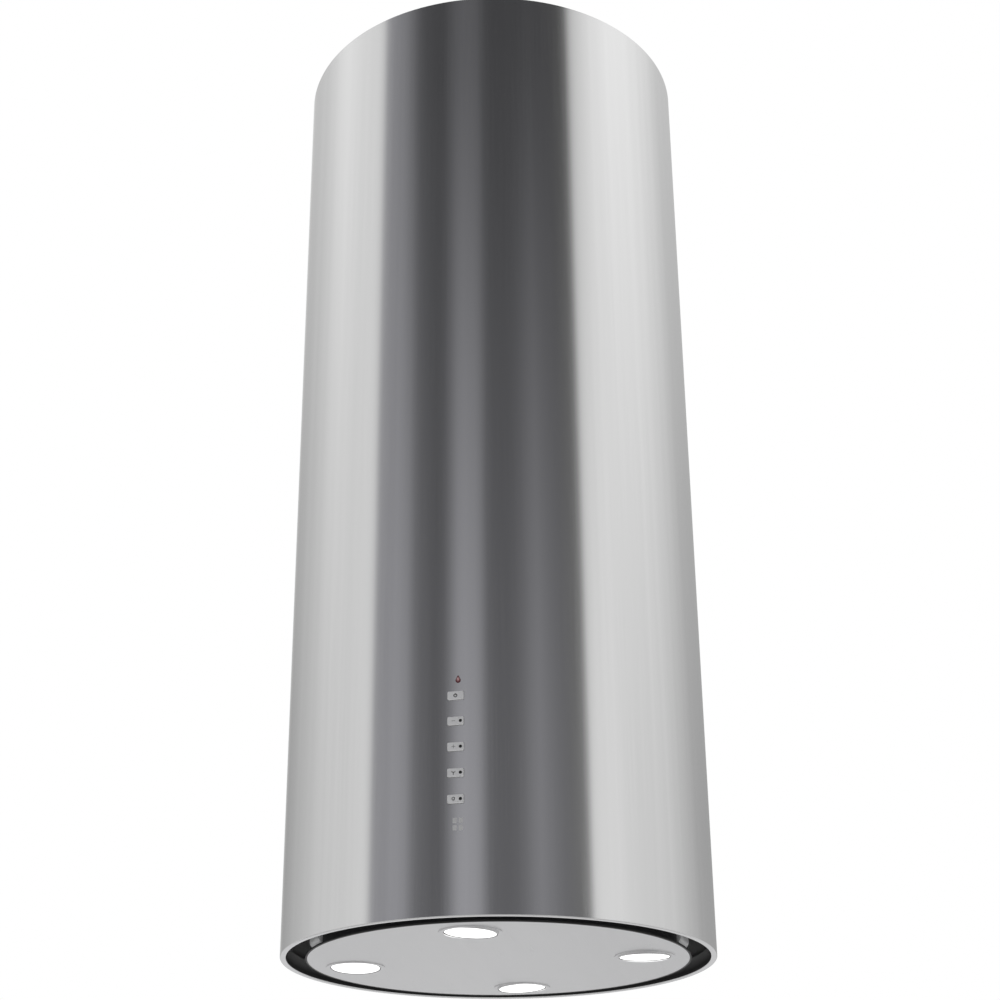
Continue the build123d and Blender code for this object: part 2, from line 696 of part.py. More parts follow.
# ---- Controls -----------------------------------------------------------------------------------
flange_front, flange_back = -187.6, -186.6
bracket_front, bracket_back = -184.0, -182.4
board_front, board_back = -176.0, -174.4
stem_end = -181.5


def control_bracket():
    """Channel on the tube's inside that guides the keys and carries their circuit board."""
    low, high, half = 78.0, 212.0, 21.0
    with BuildPart() as bracket:
        with Locations((0, bracket_back, up(low))):
            Box(2 * half, bracket_back - bracket_front, high - low,
                align=(Align.CENTER, Align.MAX, Align.MIN))
        for side in (-1, 1):
            with Locations((side * half, bracket_back, up(low))):
                Box(1.6, 12, high - low, align=(Align.MIN if side < 0 else Align.MAX, Align.MAX, Align.MIN))
        for x, z in ((-13, 88), (13, 88), (-13, 202), (13, 202)):
            with Locations(Location((x, bracket_back, up(z)), (-90, 0, 0))):
                Cylinder(2.4, board_front - bracket_back, align=(Align.CENTER, Align.CENTER, Align.MIN))
        with BuildSketch(Plane.XZ.offset(-bracket_back - 1)):
            with Locations(*[(0, up(h)) for h in key_heights()]):
                Circle(2.3)
            with Locations((warning_offset, up(warning_height))):
                Circle(1.5)
        extrude(amount=4, mode=Mode.SUBTRACT)
        Cylinder(radius - sheet - 0.2, 4 * height, mode=Mode.INTERSECT)
    write(bracket, "control_bracket")


def control_board():
    """Circuit board behind the keys, with the warning light and a cable socket."""
    with BuildPart() as board:
        with Locations((0, board_front, up(82))):
            Box(34, board_back - board_front, 126, align=(Align.CENTER, Align.MIN, Align.MIN))
        with Locations((warning_offset, board_front, up(warning_height))):
            Box(3, 1.5, 3, align=(Align.CENTER, Align.MAX, Align.CENTER))
        with Locations(*[(led_offset, board_front, up(h)) for h in key_heights()[1:]]):
            Box(2, 1, 2, align=(Align.CENTER, Align.MAX, Align.CENTER))
        with Locations((0, board_back, up(200))):
            Box(16, 6, 8, align=(Align.CENTER, Align.MIN, Align.CENTER))
    write(board, "control_board")


def key_switches():
    """Five tact switches, soldered to the control board behind the keys."""
    with BuildPart() as switches:
        for h in key_heights():
            with Locations((-0.6, board_front, up(h))):
                Box(5.4, 3.5, 6, align=(Align.CENTER, Align.MAX, Align.CENTER))
            with Locations(Location((0, board_front - 3.5, up(h)), (90, 0, 0))):
                Cylinder(1.7, 0.8, align=(Align.CENTER, Align.CENTER, Align.MIN))
    write(switches, "key_switches")


def key(number, h, lit):
    """Push key: a cap through the tube's wall, a flange behind it, and a stem to its switch."""
    face = -(radius + key_proud)
    with BuildPart() as cap:
        with BuildSketch(Plane.XZ.offset(-flange_front)):
            with Locations((0, up(h))):
                RectangleRounded(key_width, key_height, 1.1)
        extrude(amount=flange_front - face)
        fillet(cap.faces().sort_by(Axis.Y)[0].edges(), 0.6)
        with Locations((0, flange_front, up(h))):
            Box(key_width + 3, flange_back - flange_front, key_height + 2.5,
                align=(Align.CENTER, Align.MIN, Align.CENTER))
        with Locations(Location((0, flange_back, up(h)), (-90, 0, 0))):
            Cylinder(2.0, stem_end - flange_back, align=(Align.CENTER, Align.CENTER, Align.MIN))
        if lit:
            with Locations(Location((led_offset, face, up(h)), (-90, 0, 0))):
                Cylinder(led_radius, 0.8, align=(Align.CENTER, Align.CENTER, Align.MIN), mode=Mode.SUBTRACT)
    write(cap, f"key_{number}")


def key_springs():
    """Return springs round the keys' stems."""
    wire = 0.25
    free = bracket_front - flange_back - 2 * wire - 0.1
    shape = coil(3.0, wire, free / 3, free)
    with BuildPart() as springs:
        for h in key_heights():
            add(Location((0, flange_back + wire + 0.05, up(h)), (-90, 0, 0)) * shape)
    write(springs, "key_springs")


def warning_lens():
    """Red indicator lens above the keys."""
    with BuildPart() as lens:
        with BuildSketch(Plane.XZ.offset(-bracket_front)):
            warning_drop(0)
        extrude(amount=6.4)
        fillet(lens.faces().sort_by(Axis.Y)[0].edges(), 0.3)
    write(lens, "warning_lens")


# ---- Hinged lamp panel --------------------------------------------------------------------------
def lamp_place(index):
    """Centre of a lamp on the panel's underside, front lamp first."""
    angle = math.radians(90 * index - 90)
    return (lamp_circle * math.cos(angle), lamp_circle * math.sin(angle), up(0))


def lens_plane(index):
    """Plane of a lens's outer face: its normal points down and leans a little to one side."""
    lean, toward = math.radians(lens_lean), math.radians(180 - 90 * index)
    x, y, z = lamp_place(index)
    normal = (math.sin(lean) * math.cos(toward), math.sin(lean) * math.sin(toward), -math.cos(lean))
    return Plane(origin=(x, y, z - lens_drop), z_dir=normal)


def panel_face():
    """Flush round panel that is seen from below, with a hole for each lamp."""
    with BuildPart() as face:
        with BuildSketch(Plane.XY.offset(up(0))):
            Circle(panel_radius)
            with PolarLocations(lamp_circle, 4):
                Circle(lamp_hole_radius, mode=Mode.SUBTRACT)
        extrude(amount=panel_thickness)
        outer = face.edges().filter_by(GeomType.CIRCLE).group_by(Axis.Z)[0].sort_by(SortBy.RADIUS)[-1]
        fillet(outer, 0.5)
    write(face, "panel_face")


def panel_pan():
    """Shallow pan behind the panel that stiffens it and covers the wiring."""
    with BuildPart() as pan:
        with BuildSketch(Plane.XZ):
            with Locations((pan_radius, up(panel_thickness))):
                Rectangle(pan_sheet, pan_top - panel_thickness, align=(Align.MAX, Align.MIN))
            with Locations((0, up(pan_top))):
                Rectangle(pan_radius, pan_sheet, align=(Align.MIN, Align.MAX))
        revolve(axis=Axis.Z)
        with Locations((0, 0, up(pan_top))):
            with PolarLocations(lamp_circle, 4):
                Cylinder(21.5, 6, mode=Mode.SUBTRACT)
    write(pan, "panel_pan")


def panel_hinge_arms():
    """Two arms from the pan to the hinge pins."""
    first, last = 46.3, 54.3
    with BuildPart() as arms:
        with Locations(Location((first, hinge_y, up(hinge_height)), (0, 90, 0))):
            Cylinder(4, last - first, align=(Align.CENTER, Align.CENTER, Align.MIN))
        with Locations((first, hinge_y, up(hinge_height))):
            Box(last - first, 22, 4, align=(Align.MIN, Align.MAX, Align.CENTER))
        Cylinder(pan_radius, 4 * height, mode=Mode.SUBTRACT)
        with Locations(Location((0, hinge_y, up(hinge_height)), (0, 90, 0))):
            Cylinder(hinge_pin_radius + 0.05, 200, mode=Mode.SUBTRACT)
        mirror(about=Plane.YZ)
    write(arms, "panel_hinge_arms")


def hinge_brackets():
    """Straps from the deck down to the hinge pins at the back of the suction slot."""
    first, last = 34.0, 46.0
    strap_in, strap_out = 175.0, 177.0
    with BuildPart() as straps:
        with Locations((first, strap_out, up(deck_height))):
            Box(last - first, 18, 2, align=(Align.MIN, Align.MAX, Align.MAX))
            Box(last - first, strap_out - strap_in, deck_height - hinge_height,
                align=(Align.MIN, Align.MAX, Align.MAX))
        with Locations(Location((first, hinge_y, up(hinge_height)), (0, 90, 0))):
            Cylinder(4, last - first, align=(Align.CENTER, Align.CENTER, Align.MIN))
        with Locations(Location((0, hinge_y, up(hinge_height)), (0, 90, 0))):
            Cylinder(hinge_pin_radius + 0.02, 200, mode=Mode.SUBTRACT)
        mirror(about=Plane.YZ)
    write(straps, "hinge_brackets")


def hinge_pins():
    """Two headed pins through the straps and the panel's arms."""
    with BuildPart() as pins:
        with Locations(Location((33.5, hinge_y, up(hinge_height)), (0, 90, 0))):
            Cylinder(hinge_pin_radius, 21.5, align=(Align.CENTER, Align.CENTER, Align.MIN))
            Cylinder(3, 1.5, align=(Align.CENTER, Align.CENTER, Align.MAX))
        mirror(about=Plane.YZ)
    write(pins, "hinge_pins")


def magnet_posts():
    """Posts under the deck whose magnets hold the closed panel."""
    post_x, post_y = 60.0, -135.0
    with BuildPart() as posts:
        for x in (-post_x, post_x):
            with Locations((x, post_y, up(deck_height))):
                Cylinder(11, 1.5, align=(Align.CENTER, Align.CENTER, Align.MAX))
                Cylinder(5, 39, align=(Align.CENTER, Align.CENTER, Align.MAX))
            with Locations((x, post_y, up(pan_top + 0.3))):
                Cylinder(8, 7, align=(Align.CENTER, Align.CENTER, Align.MIN))
        fillet(posts.edges().filter_by(GeomType.CIRCLE).group_by(Axis.Z)[0], 0.8)
    write(posts, "magnet_posts")


def contact_block(name, low, high, pins_to):
    """One side of the plug-free connection that feeds the lamps when the panel is shut."""
    x, y = -138.0, -50.0
    with BuildPart() as block:
        with Locations((x, y, up(low))):
            Box(20, 12, high - low, align=(Align.CENTER, Align.CENTER, Align.MIN))
        if pins_to is not None:
            with Locations((x - 6, y, up(low)), (x, y, up(low)), (x + 6, y, up(low))):
                Cylinder(1.2, low - pins_to, align=(Align.CENTER, Align.CENTER, Align.MAX))
    write(block, name)


def lamp_ring(index):
    """Trim ring of one lamp: a flat flange, a barrel through the panel and a leaning bezel."""
    barrel = lamp_hole_radius - 0.1
    with BuildPart() as ring:
        with Locations(lamp_place(index)):
            Cylinder(lamp_flange_radius, 0.8, align=(Align.CENTER, Align.CENTER, Align.MAX))
            Cylinder(barrel, 12, align=(Align.CENTER, Align.CENTER, Align.MIN))
        with BuildSketch(lens_plane(index).offset(0.3)):
            Circle(barrel - 0.25)
        extrude(amount=-3)
        with Locations(lamp_place(index)):
            with Locations((0, 0, 2.5)):
                Cylinder(barrel - 0.8, 30, align=(Align.CENTER, Align.CENTER, Align.MIN), mode=Mode.SUBTRACT)
        with BuildSketch(lens_plane(index).offset(6)):
            Circle(lens_radius + 0.05)
        extrude(amount=-12, mode=Mode.SUBTRACT)
    write(ring, f"lamp_ring_{lamp_sides[index]}")


def lamp_lens(index):
    """Frosted glass of one lamp."""
    with BuildPart() as lens:
        with BuildSketch(lens_plane(index)):
            Circle(lens_radius)
        extrude(amount=-lens_thickness)
    write(lens, f"lamp_lens_{lamp_sides[index]}")


def lamp_cans():
    """Pressed housings of the four lamps."""
    can_radius, low, high, wall = 21.0, 4.0, 40.0, 0.6
    with BuildPart() as cans:
        for index in range(4):
            with Locations(lamp_place(index)):
                with Locations((0, 0, low)):
                    Cylinder(can_radius, high - low, align=(Align.CENTER, Align.CENTER, Align.MIN))
                    Cylinder(22.5, 0.8, align=(Align.CENTER, Align.CENTER, Align.MIN))
                with Locations((0, 0, low - 1)):
                    Cylinder(can_radius - wall, high - low + 1 - wall,
                             align=(Align.CENTER, Align.CENTER, Align.MIN), mode=Mode.SUBTRACT)
                with Locations((0, 0, high)):
                    Cylinder(6.5, 6, mode=Mode.SUBTRACT)
                    with PolarLocations(13, 8):
                        Cylinder(1.6, 6, mode=Mode.SUBTRACT)
    write(cans, "lamp_cans")


def lamp_bulbs():
    """Four small reflector bulbs, each with a neck and two contact pins."""
    with BuildPart() as bulbs:
        with BuildSketch(Plane.XZ):
            with BuildLine():
                outside = ThreePointArc((17.5, up(5)), (13.5, up(17)), (5.5, up(25)))
                neck = Polyline(outside @ 1, (5.5, up(36)), (0, up(36)), (0, up(22)))
                inside = ThreePointArc(neck @ 1, (11.8, up(15)), (16.3, up(5)))
                Line(inside @ 1, outside @ 0)
            make_face()
        revolve(axis=Axis.Z)
        with Locations((-2, 0, up(36)), (2, 0, up(36))):
            Cylinder(0.5, 7, align=(Align.CENTER, Align.CENTER, Align.MIN))
    one = bulbs.part
    with BuildPart() as bulb_set:
        for index in range(4):
            x, y, _ = lamp_place(index)
            add(Location((x, y, 0)) * one)
    write(bulb_set, "lamp_bulbs")


def lamp_springs():
    """Leaf springs, two to a lamp, that press the trim rings up against the panel."""
    half, thick = 4.0, 0.4
    with BuildPart() as leaf:
        with BuildSketch(Plane.XZ):
            with BuildLine():
                Polyline((23.5, up(11)), (24.6, up(11)), (31, up(2.4)), (34, up(2.0)), (34, up(1.6)),
                         (30.6, up(1.6)), (24, up(10)), (23.5, up(10)), close=True)
            make_face()
        extrude(amount=half, both=True)
    one = leaf.part
    with BuildPart() as springs:
        for index in range(4):
            x, y, _ = lamp_place(index)
            for turn in (45, 225):
                add(Location((x, y, 0), (0, 0, turn)) * one)
    write(springs, "lamp_springs")


# ---- Wiring -------------------------------------------------------------------------------------
def bend_radii(points):
    """Radius of each bend, as large as the two runs that meet there allow."""
    radii = []
    for before, corner, after in zip(points, points[1:], points[2:]):
        turn = math.radians((corner - before).get_angle(after - corner))
        run = min((corner - before).length, (after - corner).length)
        radii.append(0.45 * run / math.tan(turn / 2))
    return radii


def wiring_harness():
    """Leads in the hollow between drum and tube: to the keys, and down to the lamp contacts."""
    keys_lead = [(-90, 162, 204), (-82, 161, 216), (-71, 165, 232), (-60, 171, 252), (-47, 178, 270),
                 (-33, 175, 288), (-17, 168, 304), (0, 165, 318), (18, 168, 332), (34, 175, 344),
                 (47, 178, 350), (60, 171, 356), (68, 160, 364), (72, 152, 376), (72, 152, 391.9)]
    lamp_lead = [(108, 152, 391.9), (108, 152, 376), (112, 160, 364), (120, 171, 356),
                 (133, 178, 344), (146, 175, 324), (160, 169, 294), (173, 165, 254), (184, 164, 210),
                 (193, 162, 164), (198, 161, 118), (lamp_lead_angle, lamp_lead_radius, 88),
                 (lamp_lead_angle, lamp_lead_radius, 60)]
    with BuildPart() as harness:
        for route, lead in ((keys_lead, 2.2), (lamp_lead, 2.6)):
            points = [Vector(r, 0, up(h)).rotate(Axis.Z, angle) for angle, r, h in route]
            with BuildLine():
                path = FilletPolyline(*points, radius=bend_radii(points))
            with BuildSketch(Plane(origin=path @ 0, z_dir=path % 0)):
                Circle(lead)
            sweep()
    write(harness, "wiring_harness")


def main():
    os.makedirs("parts", exist_ok=True)
    outer_shell()
    ceiling_plate()
    low, high = leg_bolt_heights
    upper_holes = [low + leg_hole_step * i for i in range(11)]
    lower_holes = [high - leg_hole_step * i for i in range(5)]
    leg_set("upper_legs", leg_corner, leg_overlap[0], height - 3, upper_holes, True)
    leg_set("lower_legs", leg_corner - leg_sheet, deck_height + deck_sheet, leg_overlap[1],
            lower_holes, False)
    frame_brace()
    frame_bolts()
    shell_brackets()
    m4_screws()
    deck_plate()
    filter_frame()
    filter_mesh()
    filter_latch()
    filter_latch_spring()
    blower_drum()
    volute_half("volute_left", -1)
    volute_half("volute_right", 1)
    impeller()
    motor_shaft()
    motor()
    motor_mount()
    outlet_collar()
    flap_pin()
    flap("front_flap", -1)
    flap("rear_flap", 1)
    electronics_box()
    electronics_lid()
    power_board()
    terminal_block()
    cable_gland()
    capacitor()
    control_bracket()
    control_board()
    key_switches()
    for number, h in enumerate(key_heights(), start=1):
        key(number, h, lit=number > 1)
    key_springs()
    warning_lens()
    panel_face()
    panel_pan()
    panel_hinge_arms()
    hinge_brackets()
    hinge_pins()
    magnet_posts()
    contact_block("deck_contact_block", 34.0, deck_height, 30.4)
    contact_block("panel_contact_block", pan_top, 30.0, None)
    for index in range(4):
        lamp_ring(index)
        lamp_lens(index)
    lamp_cans()
    lamp_bulbs()
    lamp_springs()
    wiring_harness()


main()
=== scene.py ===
# %% [markdown]
# # An island range hood
# A plain steel tube hangs from the ceiling. Air goes in through a slot round a flush lamp panel at its
# lower end, through a grease filter and a fan, and out through a duct at the top.
# The solids come from CAD and stay as they are. This notebook gives them their finishes, adds the small
# things that CAD left out, and builds the studio.

# %% Load the frame
import json
import math

import bmesh
import bpy
from mathutils import Matrix, Vector


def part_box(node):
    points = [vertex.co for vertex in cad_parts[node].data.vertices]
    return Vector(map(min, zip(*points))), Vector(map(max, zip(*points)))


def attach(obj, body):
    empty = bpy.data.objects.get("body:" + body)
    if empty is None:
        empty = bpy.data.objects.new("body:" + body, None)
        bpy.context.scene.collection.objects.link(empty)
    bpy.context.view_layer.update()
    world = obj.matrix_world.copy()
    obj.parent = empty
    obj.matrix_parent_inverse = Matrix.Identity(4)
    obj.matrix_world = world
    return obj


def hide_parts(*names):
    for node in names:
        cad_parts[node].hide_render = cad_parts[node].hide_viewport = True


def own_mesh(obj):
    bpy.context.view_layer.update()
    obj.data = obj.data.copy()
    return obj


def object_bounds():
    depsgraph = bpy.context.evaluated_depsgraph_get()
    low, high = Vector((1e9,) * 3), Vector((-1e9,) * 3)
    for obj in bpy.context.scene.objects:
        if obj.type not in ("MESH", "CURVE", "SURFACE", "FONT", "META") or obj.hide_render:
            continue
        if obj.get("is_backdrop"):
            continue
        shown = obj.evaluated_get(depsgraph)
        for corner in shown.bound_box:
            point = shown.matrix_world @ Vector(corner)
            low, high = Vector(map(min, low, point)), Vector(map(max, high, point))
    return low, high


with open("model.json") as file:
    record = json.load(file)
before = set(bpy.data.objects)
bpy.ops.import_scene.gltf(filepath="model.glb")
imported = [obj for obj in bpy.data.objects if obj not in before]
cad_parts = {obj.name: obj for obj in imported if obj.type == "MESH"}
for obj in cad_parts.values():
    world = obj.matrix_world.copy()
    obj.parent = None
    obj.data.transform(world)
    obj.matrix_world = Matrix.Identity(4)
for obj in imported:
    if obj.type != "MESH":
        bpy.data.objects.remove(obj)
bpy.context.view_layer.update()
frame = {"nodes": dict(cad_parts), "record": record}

# %% Main sizes from the frame
MM = 0.001
record = frame["record"]
slot_of = {part["node"]: part["material_slot"] for part in record["subparts"]}
tint_of = {m["slot"]: tuple(m["base_color"][:3]) for m in record["materials"]}

shell_low, shell_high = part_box("outer_shell")
tube_radius = max(shell_high.x, shell_high.y)
rim_z = shell_low.z
tube_height = shell_high.z - shell_low.z
panel_low, panel_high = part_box("panel_face")
pan_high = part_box("panel_pan")[1]
print("tube radius", round(tube_radius, 4), "height", round(tube_height, 4), "rim at", round(rim_z, 4))


def centre(node):
    """Middle of a CAD node's box."""
    low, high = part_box(node)
    return (low + high) / 2


# %% [markdown]
# ## Steps that many cells share
# Shaders, the room and the Geometry Nodes trees are built from the same few steps, written once here.
# Where a step takes a value, it may be another node's output or a plain number or colour.

# %% Objects, meshes and circles
def new_object(name, data):
    """An object with the given mesh or camera, linked to the scene."""
    made = bpy.data.objects.new(name, data)
    bpy.context.scene.collection.objects.link(made)
    return made


def mesh_of(shape, name):
    """Ends a bmesh as a plain mesh."""
    mesh = bpy.data.meshes.new(name)
    shape.to_mesh(mesh)
    shape.free()
    return mesh


def angles(count):
    """Evenly spaced angles round a circle, in radians."""
    return [2 * math.pi * step / count for step in range(count)]


def bridge(shape, near, far):
    """Joins two rings of points with faces. Corners that fall together leave a triangle."""
    for i in range(len(near)):
        j = (i + 1) % len(near)
        corners = list(dict.fromkeys((near[i], near[j], far[j], far[i])))
        if len(corners) > 2:
            shape.faces.new(corners)


# %% Node helpers
def add_node(tree, kind, inputs=None, **settings):
    """Adds a node to a tree, with its settings and some of its inputs' values."""
    made = tree.nodes.new(kind)
    for name, value in settings.items():
        setattr(made, name, value)
    for name, value in (inputs or {}).items():
        made.inputs[name].default_value = value
    return made


def join(tree, *pairs):
    """Links outputs to inputs, given as output, input, output, input and so on."""
    for out, into in zip(pairs[::2], pairs[1::2]):
        tree.links.new(out, into)


def feed(tree, value, into):
    """Links an output to an input, or sets the input to a plain value."""
    if isinstance(value, bpy.types.NodeSocket):
        tree.links.new(value, into)
    else:
        into.default_value = value


def number(tree, operation, first, second=0.0):
    """A Math node's result."""
    made = add_node(tree, "ShaderNodeMath", operation=operation)
    feed(tree, first, made.inputs[0])
    feed(tree, second, made.inputs[1])
    return made.outputs[0]


def scaled(tree, vector, by):
    """A vector or colour times another, part by part."""
    made = add_node(tree, "ShaderNodeVectorMath", operation="MULTIPLY")
    feed(tree, vector, made.inputs[0])
    feed(tree, by, made.inputs[1])
    return made.outputs[0]


def length_of(tree, vector):
    """The length of a vector."""
    made = add_node(tree, "ShaderNodeVectorMath", operation="LENGTH")
    join(tree, vector, made.inputs[0])
    return made.outputs["Value"]


def noise(tree, vector, scale, detail=4.0, rough=0.55):
    """A noise value between 0 and 1 over a vector."""
    made = add_node(tree, "ShaderNodeTexNoise", {"Scale": scale, "Detail": detail, "Roughness": rough})
    join(tree, vector, made.inputs["Vector"])
    return made.outputs["Fac"]


def spread(tree, value, low=0.0, high=1.0, first=0.3, last=0.7):
    """Maps first to last onto low to high. Without them, first to last is the middle of a noise's range."""
    made = add_node(tree, "ShaderNodeMapRange", {"From Min": first, "From Max": last})
    for socket, end in (("Value", value), ("To Min", low), ("To Max", high)):
        feed(tree, end, made.inputs[socket])
    return made.outputs["Result"]


def mixed(tree, share, first, second):
    """Mixes two colours by a share. Inputs 6 and 7 are the node's colours A and B."""
    made = add_node(tree, "ShaderNodeMix", data_type="RGBA")
    for socket, value in (("Factor", share), (6, first), (7, second)):
        feed(tree, value, made.inputs[socket])
    return made.outputs[2]


# %% [markdown]
# ## The camera
# The hood is seen from a little below its rim, turned slightly to the right of its keys, by someone who
# looks up at it. Distances are in tube radii, so the view keeps its framing at another size.
# A lens shift, as on a view camera, moves the picture sideways without turning the lens.

# %% Camera
view_bearing = math.radians(10.0)     # from the front towards +X
view_distance = 8.5165 * tube_radius
view_drop = 1.6086 * tube_radius      # below the rim
look_up = math.radians(24.45)
look_aside = math.radians(-1.171)

lens = bpy.data.cameras.new("view_camera")
lens.lens = 65.9
lens.sensor_width = 36.0
lens.shift_x = 0.03975
lens.shift_y = 0.01375
lens.clip_start = 0.05
camera = new_object("view_camera", lens)
bpy.context.scene.camera = camera
turn = Matrix.Rotation(view_bearing, 3, "Z")
camera.location = turn @ Vector((0, -view_distance, 0)) + Vector((0, 0, rim_z - view_drop))
forward = Vector((math.sin(look_aside) * math.cos(look_up), math.cos(look_aside) * math.cos(look_up),
                  math.sin(look_up)))
camera.rotation_mode = "QUATERNION"
camera.rotation_quaternion = (turn @ forward).to_track_quat("-Z", "Y")
print("camera at", [round(v, 3) for v in camera.location])


# %% [markdown]
# ## The studio
# Polished steel has no colour of its own: it shows the room. So the room is the real light here. It has a
# tall white wall on each side, dark cloth behind the viewer with a few grey strips of reflected
# light, and a white ceiling. A world shader holds all of it as brightness by compass bearing, once for
# low directions and once for high ones, and blends the two by height.
# The camera itself looks past the room at plain white, which is what the Light Path node is for.

# %% Light by bearing
# (bearing in degrees from the camera, positive to its right; brightness low down; brightness high up)
ROOM = [
    (-180, 0.95, 1.05),
    (-168, 0.60, 0.86),
    (-158, 0.38, 0.62),   # grey corner behind on the left
    (-145, 0.46, 0.65),
    (-125, 0.60, 0.74),
    (-105, 0.74, 0.99),   # left white wall
    (-80, 0.78, 0.86),
    (-70.5, 0.86, 0.84),
    (-69.5, 0.30, 0.33),  # its edge, and a pale strip beside it
    (-56, 0.37, 0.25),
    (-49, 0.35, 0.15),
    (-44, 0.18, 0.08),    # dark cloth
    (-29, 0.11, 0.06),
    (-24, 0.25, 0.10),
    (-20, 0.42, 0.12),    # narrow strip of reflected light
    (-9, 0.38, 0.12),
    (-4, 0.15, 0.065),
    (8, 0.14, 0.06),
    (14, 0.18, 0.06),
    (22, 0.29, 0.065),
    (36, 0.17, 0.065),
    (44, 0.17, 0.07),
    (49, 0.21, 0.13),
    (50, 0.90, 0.63),     # edge of the right white wall
    (60, 0.90, 0.86),
    (80, 0.80, 1.10),
    (105, 0.74, 1.00),
    (120, 0.58, 0.86),
    (133, 0.46, 0.70),    # grey corner behind on the right
    (160, 0.38, 0.62),
    (174, 0.42, 0.64),
    (180, 0.95, 1.05),
]


COOL_FROM, COOL_TO, COOLNESS = -70, 40, 0.02   # the cloth and its strips are a little bluer


def brightness_ramp(tree, bearing, column):
    """Brightness for a bearing from 0 to 1, read from one column of the room's list."""
    ramp = add_node(tree, "ShaderNodeValToRGB")
    stops = ramp.color_ramp.elements
    stops.remove(stops[1])
    stops[0].position = 0.0
    for row_number, row in enumerate(ROOM):
        stop = stops[0] if row_number == 0 else stops.new((row[0] + 180) / 360)
        value = row[column]
        cool = COOLNESS if COOL_FROM < row[0] < COOL_TO else 0.0
        stop.color = (value * (1 - cool), value * (1 - cool), value * (1 + 2 * cool), 1)
    join(tree, bearing, ramp.inputs["Fac"])
    return ramp.outputs["Color"]


# %% World shader
world = bpy.data.worlds.new("studio_room")
bpy.context.scene.world = world
bpy.context.scene.view_settings.view_transform = "Standard"
world.use_nodes = True
room = world.node_tree
room.nodes.clear()
direction = add_node(room, "ShaderNodeTexCoord").outputs["Generated"]
level = add_node(room, "ShaderNodeVectorRotate", {"Angle": -view_bearing}, rotation_type="Z_AXIS")
parts = add_node(room, "ShaderNodeSeparateXYZ")
join(room, direction, level.inputs["Vector"], level.outputs["Vector"], parts.inputs["Vector"])
height = parts.outputs["Z"]
backward = number(room, "MULTIPLY", parts.outputs["Y"], -1.0)
bearing = spread(room, number(room, "ARCTAN2", parts.outputs["X"], backward), first=-math.pi, last=math.pi)


def blend_by_height(start, end, lower, upper, curve=1.0):
    """Blends from one colour to another between two heights of the direction's z."""
    share = number(room, "POWER", spread(room, height, first=start, last=end), curve)
    return mixed(room, share, lower, upper)


LOW_UNTIL, HIGH_FROM, WALL_CURVE = 0.24, 0.63, 1.4   # z of a direction, from -1 to 1
CEILING, FLOOR = (0.75, 0.95), (-0.02, -0.16)
ceiling_light, floor_light = (1.0, 1.0, 1.0, 1), (0.68, 0.68, 0.69, 1)
walls = blend_by_height(LOW_UNTIL, HIGH_FROM, brightness_ramp(room, bearing, 1),
                        brightness_ramp(room, bearing, 2), WALL_CURVE)
with_ceiling = blend_by_height(*CEILING, walls, ceiling_light)
lit = add_node(room, "ShaderNodeBackground")
seen = add_node(room, "ShaderNodeBackground", {"Color": (1, 1, 1, 1), "Strength": 1.0})
ray = add_node(room, "ShaderNodeLightPath")
either = add_node(room, "ShaderNodeMixShader")
join(room, blend_by_height(*FLOOR, with_ceiling, floor_light), lit.inputs["Color"],
     ray.outputs["Is Camera Ray"], either.inputs["Fac"], lit.outputs["Background"], either.inputs[1],
     seen.outputs["Background"], either.inputs[2],
     either.outputs["Shader"], add_node(room, "ShaderNodeOutputWorld").inputs["Surface"])
print("room has", len(ROOM), "bearings")

# %% [markdown]
# ## The floor
# A wide pale disc stands well below the hood, where a hob would be and lower. Its matt paint is a little
# uneven, as a studio floor is.

# %% Floor disc
floor_drop, floor_radius = 1.6, 4.0
disc = bmesh.new()
bmesh.ops.create_circle(disc, cap_ends=True, radius=floor_radius, segments=96)
bmesh.ops.translate(disc, verts=disc.verts, vec=(0, 0, rim_z - floor_drop))
floor = new_object("studio_floor", mesh_of(disc, "studio_floor"))
floor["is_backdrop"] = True


# %% [markdown]
# ## Shared effects
# Brushed lines, zinc flakes, moulded skin and dust turn up on many finishes. Each one is a node group
# with named inputs, built once. The shaders themselves stay in the materials.

# %% Group helper
def new_group(name, inputs, outputs):
    """An empty shader group with its sockets. Each socket is (name, kind, default)."""
    tree = bpy.data.node_groups.new(name, "ShaderNodeTree")
    kinds = {"vector": "NodeSocketVector", "value": "NodeSocketFloat", "colour": "NodeSocketColor"}
    for direction, sockets in (("INPUT", inputs), ("OUTPUT", outputs)):
        for socket_name, kind, default in sockets:
            made = tree.interface.new_socket(name=socket_name, in_out=direction, socket_type=kinds[kind])
            if default is not None:
                made.default_value = default
    return tree, tree.nodes.new("NodeGroupInput"), tree.nodes.new("NodeGroupOutput")


# %% Brushed lines
def brushed_lines():
    """Long parallel scratches. The vector comes in already stretched along the grain."""
    tree, ins, outs = new_group(
        "brushed_lines",
        [("Vector", "vector", None), ("Light", "colour", (0.75, 0.75, 0.75, 1)),
         ("Dark", "colour", (0.68, 0.68, 0.68, 1)), ("Roughness Low", "value", 0.15),
         ("Roughness High", "value", 0.25)],
        [("Color", "colour", None), ("Roughness", "value", None), ("Height", "value", None)])
    grain = ins.outputs["Vector"]
    fine = noise(tree, grain, 1.0, detail=5.0, rough=0.7)
    broad = noise(tree, scaled(tree, grain, (0.05, 0.05, 0.05)), 1.0, detail=3.0)
    share = spread(tree, number(tree, "MULTIPLY", number(tree, "ADD", fine, broad), 0.5))
    rough = spread(tree, fine, ins.outputs["Roughness Low"], ins.outputs["Roughness High"])
    join(tree, mixed(tree, share, ins.outputs["Dark"], ins.outputs["Light"]), outs.inputs["Color"],
         rough, outs.inputs["Roughness"], fine, outs.inputs["Height"])
    return tree


